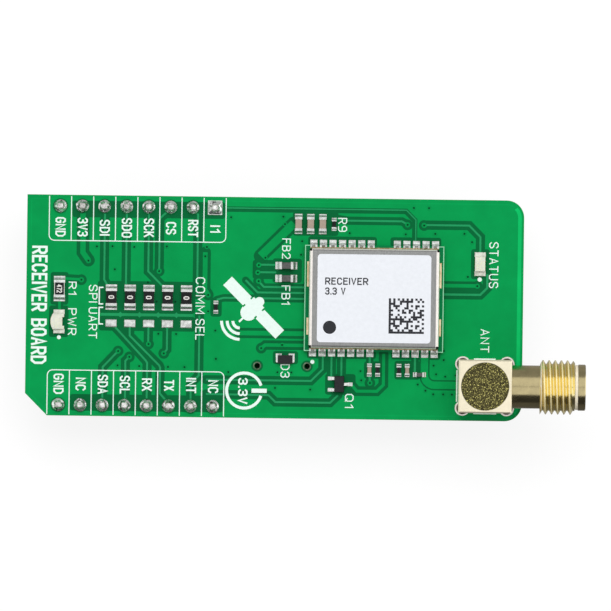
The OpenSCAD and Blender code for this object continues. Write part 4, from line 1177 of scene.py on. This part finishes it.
class RECEIVER_OT_edge_plating(bpy.types.Operator):
    """Plate the half holes and strips along the module's long edges, and draw its pale rim"""

    bl_idname = "receiver.edge_plating"
    bl_label = "Edge Plating"

    def execute(self, context):
        bm = bmesh.new()
        hole = 0.25
        wall = 0.03
        half = 0.4
        top = SUBSTRATE_HIGH.z
        # Heights over the substrate, all different so that no two faces lie in one plane
        lining_h, rim_h, strip_h, cap_h = 0.012, 0.014, 0.02, 0.022
        inner = CAN_LOW.y - SUBSTRATE_LOW.y - 0.02
        caps = bmesh.new()
        rim = bmesh.new()
        for edge, side in ((SUBSTRATE_LOW.y, 1), (SUBSTRATE_HIGH.y, -1)):
            strip = sorted((edge + hole * side, edge + inner * side))
            patch(bm, (CAN_LOW.x + 0.1, CAN_HIGH.x - 0.1, *strip), 0, top - SUNK, top + strip_h)
            for x in contact_places():
                lining = arc(x, edge, hole - wall / 2, 0, 180 * side, 8)
                stroke(bm, lining, wall, SUBSTRATE_LOW.z + 0.01, top + lining_h)
                for way in (-1, 1):
                    across = sorted((x + way * hole * 0.75, x + way * half))
                    along = sorted((edge, edge + hole * side))
                    patch(caps, (*across, *along), 0, top - SUNK, top + cap_h)
        line, hook = 0.1, 0.55
        left, right = SUBSTRATE_LOW.x + line / 2, SUBSTRATE_HIGH.x - line / 2
        lower, upper = SUBSTRATE_LOW.y + line / 2, SUBSTRATE_HIGH.y - line / 2
        for x, inward in ((left, 1), (right, -1)):
            path = [(x + hook * inward, upper), (x, upper), (x, lower), (x + hook * inward, lower)]
            stroke(rim, path, line, top - SUNK, top + rim_h)
        finish = metal_finish("edge_gold", tone(112, 88, 58), tone(206, 180, 142), 0.4, 3.4, 0.01, 0.6)
        make_piece("edge_plating", bm, finish)
        make_piece("edge_caps", caps, bpy.data.materials["tinned_land"])
        make_piece("module_rim", rim, mask_finish("rim_laminate", tone(150, 214, 176)))
        return {"FINISHED"}


class RECEIVER_OT_can_corners(bpy.types.Operator):
    """Set dark blocks in the can's open corners, as painted shade in the gaps"""

    bl_idname = "receiver.can_corners"
    bl_label = "Can Corners"

    def execute(self, context):
        bm = bmesh.new()
        near, far = 0.04, 0.29
        low = SUBSTRATE_HIGH.z
        level = CAN_HIGH.z - 0.45
        for x, inward in ((CAN_LOW.x, 1), (CAN_HIGH.x, -1)):
            for y, along in ((CAN_LOW.y, 1), (CAN_HIGH.y, -1)):
                across = sorted((x + near * inward, x + far * inward))
                upwards = sorted((y + near * along, y + far * along))
                patch(bm, (*across, *upwards), 0, low, level)
        # Painted shade: dark blocks stand in the open corners, where there is only shade
        finish = body_finish("painted_corner_shade", tone(16, 20, 18), tone(34, 38, 34), 0.7, 5, 0.1)
        make_piece("can_corners", bm, finish)
        return {"FINISHED"}


class RECEIVER_OT_label_print(bpy.types.Operator):
    """Print the first-pin dot, a code square and plain words on the can's label"""

    bl_idname = "receiver.label_print"
    bl_label = "Label Print"

    low = LABEL_HIGH.z - SUNK
    level = LABEL_HIGH.z + 0.008

    def dark_cell(self, row, column, cells):
        """Whether a cell of the made-up square pattern is dark."""
        last = cells - 1
        if column == 0 or row == 0:
            return True
        if row == last or column == last:
            return (row == last and column % 2 == 0) or (column == last and row % 2 == 0)
        return (column * 7 + row * 11 + column * row * 3 + (column * column) // 3) % 9 < 4

    def code_square(self, bm):
        """Rows of dark runs, with a hair between the rows."""
        left, lower, width, cells = CODE_SQUARE
        cell = width / cells
        hair = 0.002
        for row in range(cells):
            y = lower + row * cell
            run = None
            for column in range(cells + 1):
                dark = column < cells and self.dark_cell(row, column, cells)
                if dark and run is None:
                    run = column
                if not dark and run is not None:
                    field = (left + run * cell, left + column * cell, y + hair, y + cell - hair)
                    patch(bm, field, 0, self.low, self.level)
                    run = None

    def execute(self, context):
        bm = bmesh.new()
        disc(bm, *LABEL_DOT, self.low, self.level, 32)
        self.code_square(bm)
        for words, low_corner, high_corner in LABEL_WORDS:
            letters(bm, words, low_corner, high_corner, self.low, self.level, LABEL_PEN, False)
        ink = look("part").ink
        finish = body_finish("label_ink", shade(ink, 0.85), ink, 0.55, 4, 0.2)
        make_piece("label_print", bm, finish)
        return {"FINISHED"}


# Antenna jack

class RECEIVER_OT_threaded_barrel(bpy.types.Operator):
    """Turn the jack's barrel with its thread, in the place of the plain one"""

    bl_idname = "receiver.threaded_barrel"
    bl_label = "Threaded Barrel"

    def cut_thread(self, bm, plain, centre, pitch, root, crest, shoulder, groove):
        """Winds the ridge of the thread around the barrel and trims it between shoulder and groove."""
        base, flat = pitch * 0.46, 0.05
        first = shoulder - base * 0.6
        turns = (groove + 0.05 - first) / pitch
        foot = root - 0.05
        section = [(first - base, foot), (first - flat, crest), (first + flat, crest), (first + base, foot)]
        ridge, edges = closed_loop(bm, section, centre)
        per_turn = 64
        steps = int(turns * per_turn)
        last = bmesh.ops.spin(bm, geom=ridge + edges, cent=centre, axis=(1, 0, 0), angle=2 * math.pi * turns,
                              dvec=(pitch * turns / steps, 0, 0), steps=steps, use_merge=False,
                              use_duplicate=False)["geom_last"]
        bm.faces.new(ridge)
        bm.faces.new([v for v in last if isinstance(v, bmesh.types.BMVert)])
        # The ridge fades into the barrel over half a turn at its front end
        run_out = pitch * 0.5
        faded = root - 0.04
        for v in (v for v in bm.verts if v not in plain):
            radius = (v.co - centre).yz.length
            if radius < root:
                continue
            gone = (first + pitch * turns + flat - v.co.x) / run_out
            wanted = faded + (crest - faded) * min(max(gone, 0), 1)
            v.co.y = centre.y + (v.co.y - centre.y) * wanted / radius
            v.co.z = centre.z + (v.co.z - centre.z) * wanted / radius
        for place, inner in ((shoulder + 0.01, True), (groove - 0.01, False)):
            ridge = [v for v in bm.verts if v not in plain]
            geom = ridge + list({edge for v in ridge for edge in v.link_edges})
            geom += list({face for v in ridge for face in v.link_faces})
            made = bmesh.ops.bisect_plane(bm, geom=geom, dist=0.0001, plane_co=(place, 0, 0),
                                          plane_no=(1, 0, 0), clear_inner=inner,
                                          clear_outer=not inner)["geom_cut"]
            bmesh.ops.holes_fill(bm, edges=[e for e in made if isinstance(e, bmesh.types.BMEdge)], sides=0)

    def execute(self, context):
        jack = look("jack")
        pitch = jack.thread_pitch / MM
        centre = Vector((0, (BARREL_HIGH.y + BARREL_LOW.y) / 2, (BARREL_HIGH.z + BARREL_LOW.z) / 2))
        crest = (BARREL_HIGH.y - BARREL_LOW.y) / 2
        root = crest - jack.thread_depth / MM
        back, front = BARREL_LOW.x, BARREL_HIGH.x
        nose_l, thread_l, mouth_l = 0.85, 4.4, 1.9
        bore, neck, mouth, nose_r = 2.07, 2.475, 2.3, 2.65
        lip = 0.1
        nose = front - nose_l
        shoulder = nose - thread_l
        groove = nose - 0.38
        groove_r = nose_r - 0.2
        profile = [(back, bore), (back, neck), (shoulder, neck), (shoulder, root - 0.06),
                   (shoulder + 0.12, root), (groove - 0.02, root), (groove, groove_r), (nose, groove_r),
                   (nose, nose_r), (front - lip, nose_r), (front, nose_r - lip), (front, mouth + lip),
                   (front - lip, mouth),
                   (front - mouth_l, mouth), (front - mouth_l, bore)]
        bm = bmesh.new()
        turned(bm, profile, centre)
        plain = set(bm.verts)
        self.cut_thread(bm, plain, centre, pitch, root, crest, shoulder, groove)
        finish = barrel_finish(jack.gold, jack.thread, shoulder - 0.005, groove, centre, root, crest)
        piece = make_piece("threaded_barrel", bm, finish, 28)
        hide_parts("jack_barrel")
        bands = bmesh.new()
        band_r = nose_r - 0.08
        foot_r = nose_r - 0.24
        nose_band = [(groove + 0.01, foot_r), (groove + 0.03, band_r), (nose - 0.03, band_r),
                     (nose - 0.01, foot_r)]
        lead_in = [(shoulder + 0.015, neck - 0.02), (shoulder + 0.03, root - 0.06),
                   (shoulder + 0.16, crest - 0.2), (shoulder + 0.2, crest - 0.22),
                   (shoulder + 0.22, neck - 0.02)]
        for outline in (nose_band, lead_in):
            turned(bands, outline, centre)
        # Painted highlight: a pale, non-metallic finish on the nose band and the lead-in ring, so they read
        # as bright lines
        highlight_band_finish = body_finish("painted_highlight_band", tone(236, 226, 200), tone(250, 242, 222), 0.5, 2)
        make_piece("painted_highlight_bands", bands, highlight_band_finish, 28)
        return {"FINISHED"}


# Chips

class RECEIVER_OT_chip_codes(bpy.types.Operator):
    """Print the value codes on the large resistors, and the pale rims of the one beside the lamp"""

    bl_idname = "receiver.chip_codes"
    bl_label = "Chip Codes"

    def execute(self, context):
        bm = bmesh.new()
        low = GLAZE_HIGH.z - SUNK
        level = GLAZE_HIGH.z + 0.008
        for x in SELECTOR_X:
            letters(bm, "0", (x - 0.33, 0.8), (x + 0.33, 1.2), low, level, 0.12)
        letters(bm, "472", (PIN_X[0] - 0.31, 1.42), (PIN_X[0] + 0.31, 2.38), low, level, 0.1)
        finish = body_finish("code_ink", tone(214, 212, 206), tone(236, 234, 228), 0.5, 4, 0.2)
        make_piece("chip_codes", bm, finish)
        rims = bmesh.new()
        power_low, power_high = box_mm("power_resistor_glaze")
        for x in (power_low.x + 0.03, power_high.x - 0.03):
            stroke(rims, [(x, power_low.y), (x, power_high.y)], 0.06, low, level)
        make_piece("glaze_rims", rims, bpy.data.materials["ceramic"])
        return {"FINISHED"}


class RECEIVER_OT_lamp_ends(bpy.types.Operator):
    """Set the pale solder at both ends of the lamps"""

    bl_idname = "receiver.lamp_ends"
    bl_label = "Lamp Ends"

    def execute(self, context):
        bm = bmesh.new()
        reach = 0.36
        for lamp in ("power_led", "status_led"):
            low, high = box_mm(f"{lamp}_terminals")
            for y, way in ((low.y, -1), (high.y, 1)):
                middle = (low + high) / 2
                middle.y = y + way * (reach / 2 - 0.07)
                middle.z += 0.02
                size = (high.x - low.x + 0.03, reach + 0.14, high.z - low.z, 1)
                rounded_block(bm, Matrix.Translation(middle) @ Matrix.Diagonal(size), 0.09, 3)
        make_piece("lamp_ends", bm, bpy.data.materials["lamp_tin"], 40)
        return {"FINISHED"}


class RECEIVER_OT_open_lands(bpy.types.Operator):
    """Set the tin that stands on the open selector lands"""

    bl_idname = "receiver.open_lands"
    bl_label = "Open Lands"

    def execute(self, context):
        bm = bmesh.new()
        size = Vector((1.27, 0.86))
        height = 0.13
        level = GLAZE_LOW.z - 0.46
        y = (GLAZE_LOW.y + GLAZE_HIGH.y) / 2 - 3
        for x in SELECTOR_X:
            shape = Matrix.Translation((x, y, level)) @ Matrix.Diagonal((size.x, size.y, 1, 1))
            grid = bmesh.ops.create_grid(bm, x_segments=9, y_segments=6, size=0.5, matrix=shape)
            raise_faces(bm, list({face for v in grid["verts"] for face in v.link_faces}), height)
        bmesh.ops.recalc_face_normals(bm, faces=bm.faces)
        upper = [edge for edge in bm.edges if all(v.co.z > level + height / 2 for v in edge.verts)]
        rims = [edge for edge in upper if edge.calc_face_angle(0) > 1]
        bmesh.ops.bevel(bm, geom=rims, offset=0.1, segments=3, profile=0.5, affect="EDGES", material=-1)
        for v in bm.verts:
            if v.co.z > level + height * 0.6:
                v.co.z += 0.035 * noise.noise(v.co * 2.4)
        make_piece("open_lands", bm, bpy.data.materials["tinned_land"], 50)
        return {"FINISHED"}


# Stage

class RECEIVER_OT_stage(bpy.types.Operator):
    """Set the camera, floor and light"""

    bl_idname = "receiver.stage"
    bl_label = "Stage"

    def camera(self, stage):
        """Camera straight above the board."""
        lens = bpy.data.cameras.new("camera")
        lens.sensor_width = 36
        lens.lens = lens.sensor_width * stage.camera_height / stage.picture_width
        lens.clip_start = 0.05
        lens.clip_end = 50
        camera = bpy.data.objects.new("camera", lens)
        x, y = PICTURE_MIDDLE
        camera.location = (x * MM, y * MM, TOP * MM + stage.camera_height)
        camera.rotation_euler = (0, 0, stage.camera_turn)
        bpy.context.scene.collection.objects.link(camera)
        bpy.context.scene.camera = camera

    def floor(self, stage):
        """Floor a hair under the pins, brighter for the camera and not seen in reflections."""
        bm = bmesh.new()
        hair = 0.00005
        bmesh.ops.create_grid(bm, x_segments=1, y_segments=1, size=6,
                              matrix=Matrix.Translation((0, 0, PINS_LOW.z * MM - hair)))
        finish, shader = new_finish("floor", 0.9, specular=0.1)
        shader.inputs["Base Color"].default_value = (*stage.floor, 1)
        path = add_node(finish, "LightPath")
        lift = math_node(finish, "MULTIPLY", path.outputs["Is Camera Ray"], stage.floor_lift)
        shader.inputs["Emission Color"].default_value = (1, 1, 1, 1)
        feed(finish, lift, shader.inputs["Emission Strength"])
        floor = add_mesh("floor", bm, finish)
        floor.visible_glossy = False

    def card(self, name, place, aim, size, brightness):
        """Flat card that only reflections show."""
        bm = bmesh.new()
        turn = (Vector(aim) - Vector(place)).to_track_quat("Z", "Y").to_matrix().to_4x4()
        shape = Matrix.Diagonal((size[0] / 2, size[1] / 2, 1, 1))
        bmesh.ops.create_grid(bm, x_segments=1, y_segments=1, size=1,
                              matrix=Matrix.Translation(place) @ turn @ shape)
        finish, shader = new_finish(name, 1, specular=0)
        shader.inputs["Base Color"].default_value = (0, 0, 0, 1)
        shader.inputs["Emission Color"].default_value = (1, 1, 1, 1)
        shader.inputs["Emission Strength"].default_value = brightness
        card = add_mesh(name, bm, finish)
        card.visible_camera = False
        card.visible_diffuse = False
        card.visible_shadow = False
        card.visible_transmission = False

    def lamp(self, stage):
        """Large lamp above, not seen in reflections."""
        data = bpy.data.lights.new("large_lamp", "AREA")
        data.shape = "RECTANGLE"
        data.size, data.size_y = LAMP_SIZE
        data.energy = stage.lamp
        lamp = bpy.data.objects.new("large_lamp", data)
        lamp.visible_glossy = False
        lamp.location = LAMP_PLACE
        lamp.rotation_euler = (Vector(LAMP_AIM) - Vector(LAMP_PLACE)).to_track_quat("-Z", "Y").to_euler()
        bpy.context.scene.collection.objects.link(lamp)

    def sky(self, stage):
        """Even light, dimmer in reflections and white for the camera."""
        world = bpy.data.worlds.new("studio")
        world.use_nodes = True
        bpy.context.scene.world = world
        path = add_node(world, "LightPath")
        dim = map_range(world, path.outputs["Is Glossy Ray"], stage.sky, stage.gloom)
        strength = map_range(world, path.outputs["Is Camera Ray"], dim, 1)
        background = world.node_tree.nodes["Background"]
        background.inputs["Color"].default_value = (1, 1, 1, 1)
        feed(world, strength, background.inputs["Strength"])

    def execute(self, context):
        stage = look("stage")
        context.scene.view_settings.view_transform = "Standard"
        self.camera(stage)
        self.floor(stage)
        self.sky(stage)
        self.lamp(stage)
        for card in CARDS:
            self.card(*card)
        return {"FINISHED"}


class RECEIVER_PT_board(bpy.types.Panel):
    """Lists the steps that dress the receiver board"""

    bl_idname = "RECEIVER_PT_board"
    bl_label = "Receiver Board"
    bl_space_type = "VIEW_3D"
    bl_region_type = "UI"
    bl_category = "Receiver Board"

    def draw(self, context):
        layout = self.layout
        for step in STEPS:
            layout.operator(step.bl_idname)
        for name, group in LOOKS.items():
            box = layout.box()
            box.label(text=group.__doc__)
            for field in group.__annotations__:
                box.prop(look(name), field)


STEPS = (
    RECEIVER_OT_finishes,
    RECEIVER_OT_bare_fields,
    RECEIVER_OT_copper_lines,
    RECEIVER_OT_vias,
    RECEIVER_OT_edge_strip,
    RECEIVER_OT_board_print,
    RECEIVER_OT_header_joints,
    RECEIVER_OT_edge_plating,
    RECEIVER_OT_can_corners,
    RECEIVER_OT_label_print,
    RECEIVER_OT_threaded_barrel,
    RECEIVER_OT_chip_codes,
    RECEIVER_OT_lamp_ends,
    RECEIVER_OT_open_lands,
    RECEIVER_OT_stage,
)


def register():
    for name, group in LOOKS.items():
        bpy.utils.register_class(group)
        setattr(bpy.types.Scene, f"receiver_{name}", PointerProperty(type=group))
    for step in STEPS:
        bpy.utils.register_class(step)
    bpy.utils.register_class(RECEIVER_PT_board)


def unregister():
    bpy.utils.unregister_class(RECEIVER_PT_board)
    for step in reversed(STEPS):
        bpy.utils.unregister_class(step)
    for name, group in LOOKS.items():
        delattr(bpy.types.Scene, f"receiver_{name}")
        bpy.utils.unregister_class(group)


def main():
    register()
    bpy.ops.receiver.finishes()
    bpy.ops.receiver.bare_fields()
    bpy.ops.receiver.copper_lines()
    bpy.ops.receiver.vias()
    bpy.ops.receiver.edge_strip()
    bpy.ops.receiver.board_print()
    bpy.ops.receiver.header_joints()
    bpy.ops.receiver.edge_plating()
    bpy.ops.receiver.can_corners()
    bpy.ops.receiver.label_print()
    bpy.ops.receiver.threaded_barrel()
    bpy.ops.receiver.chip_codes()
    bpy.ops.receiver.lamp_ends()
    bpy.ops.receiver.open_lands()
    bpy.ops.receiver.stage()


if __name__ == "__main__":
    main()
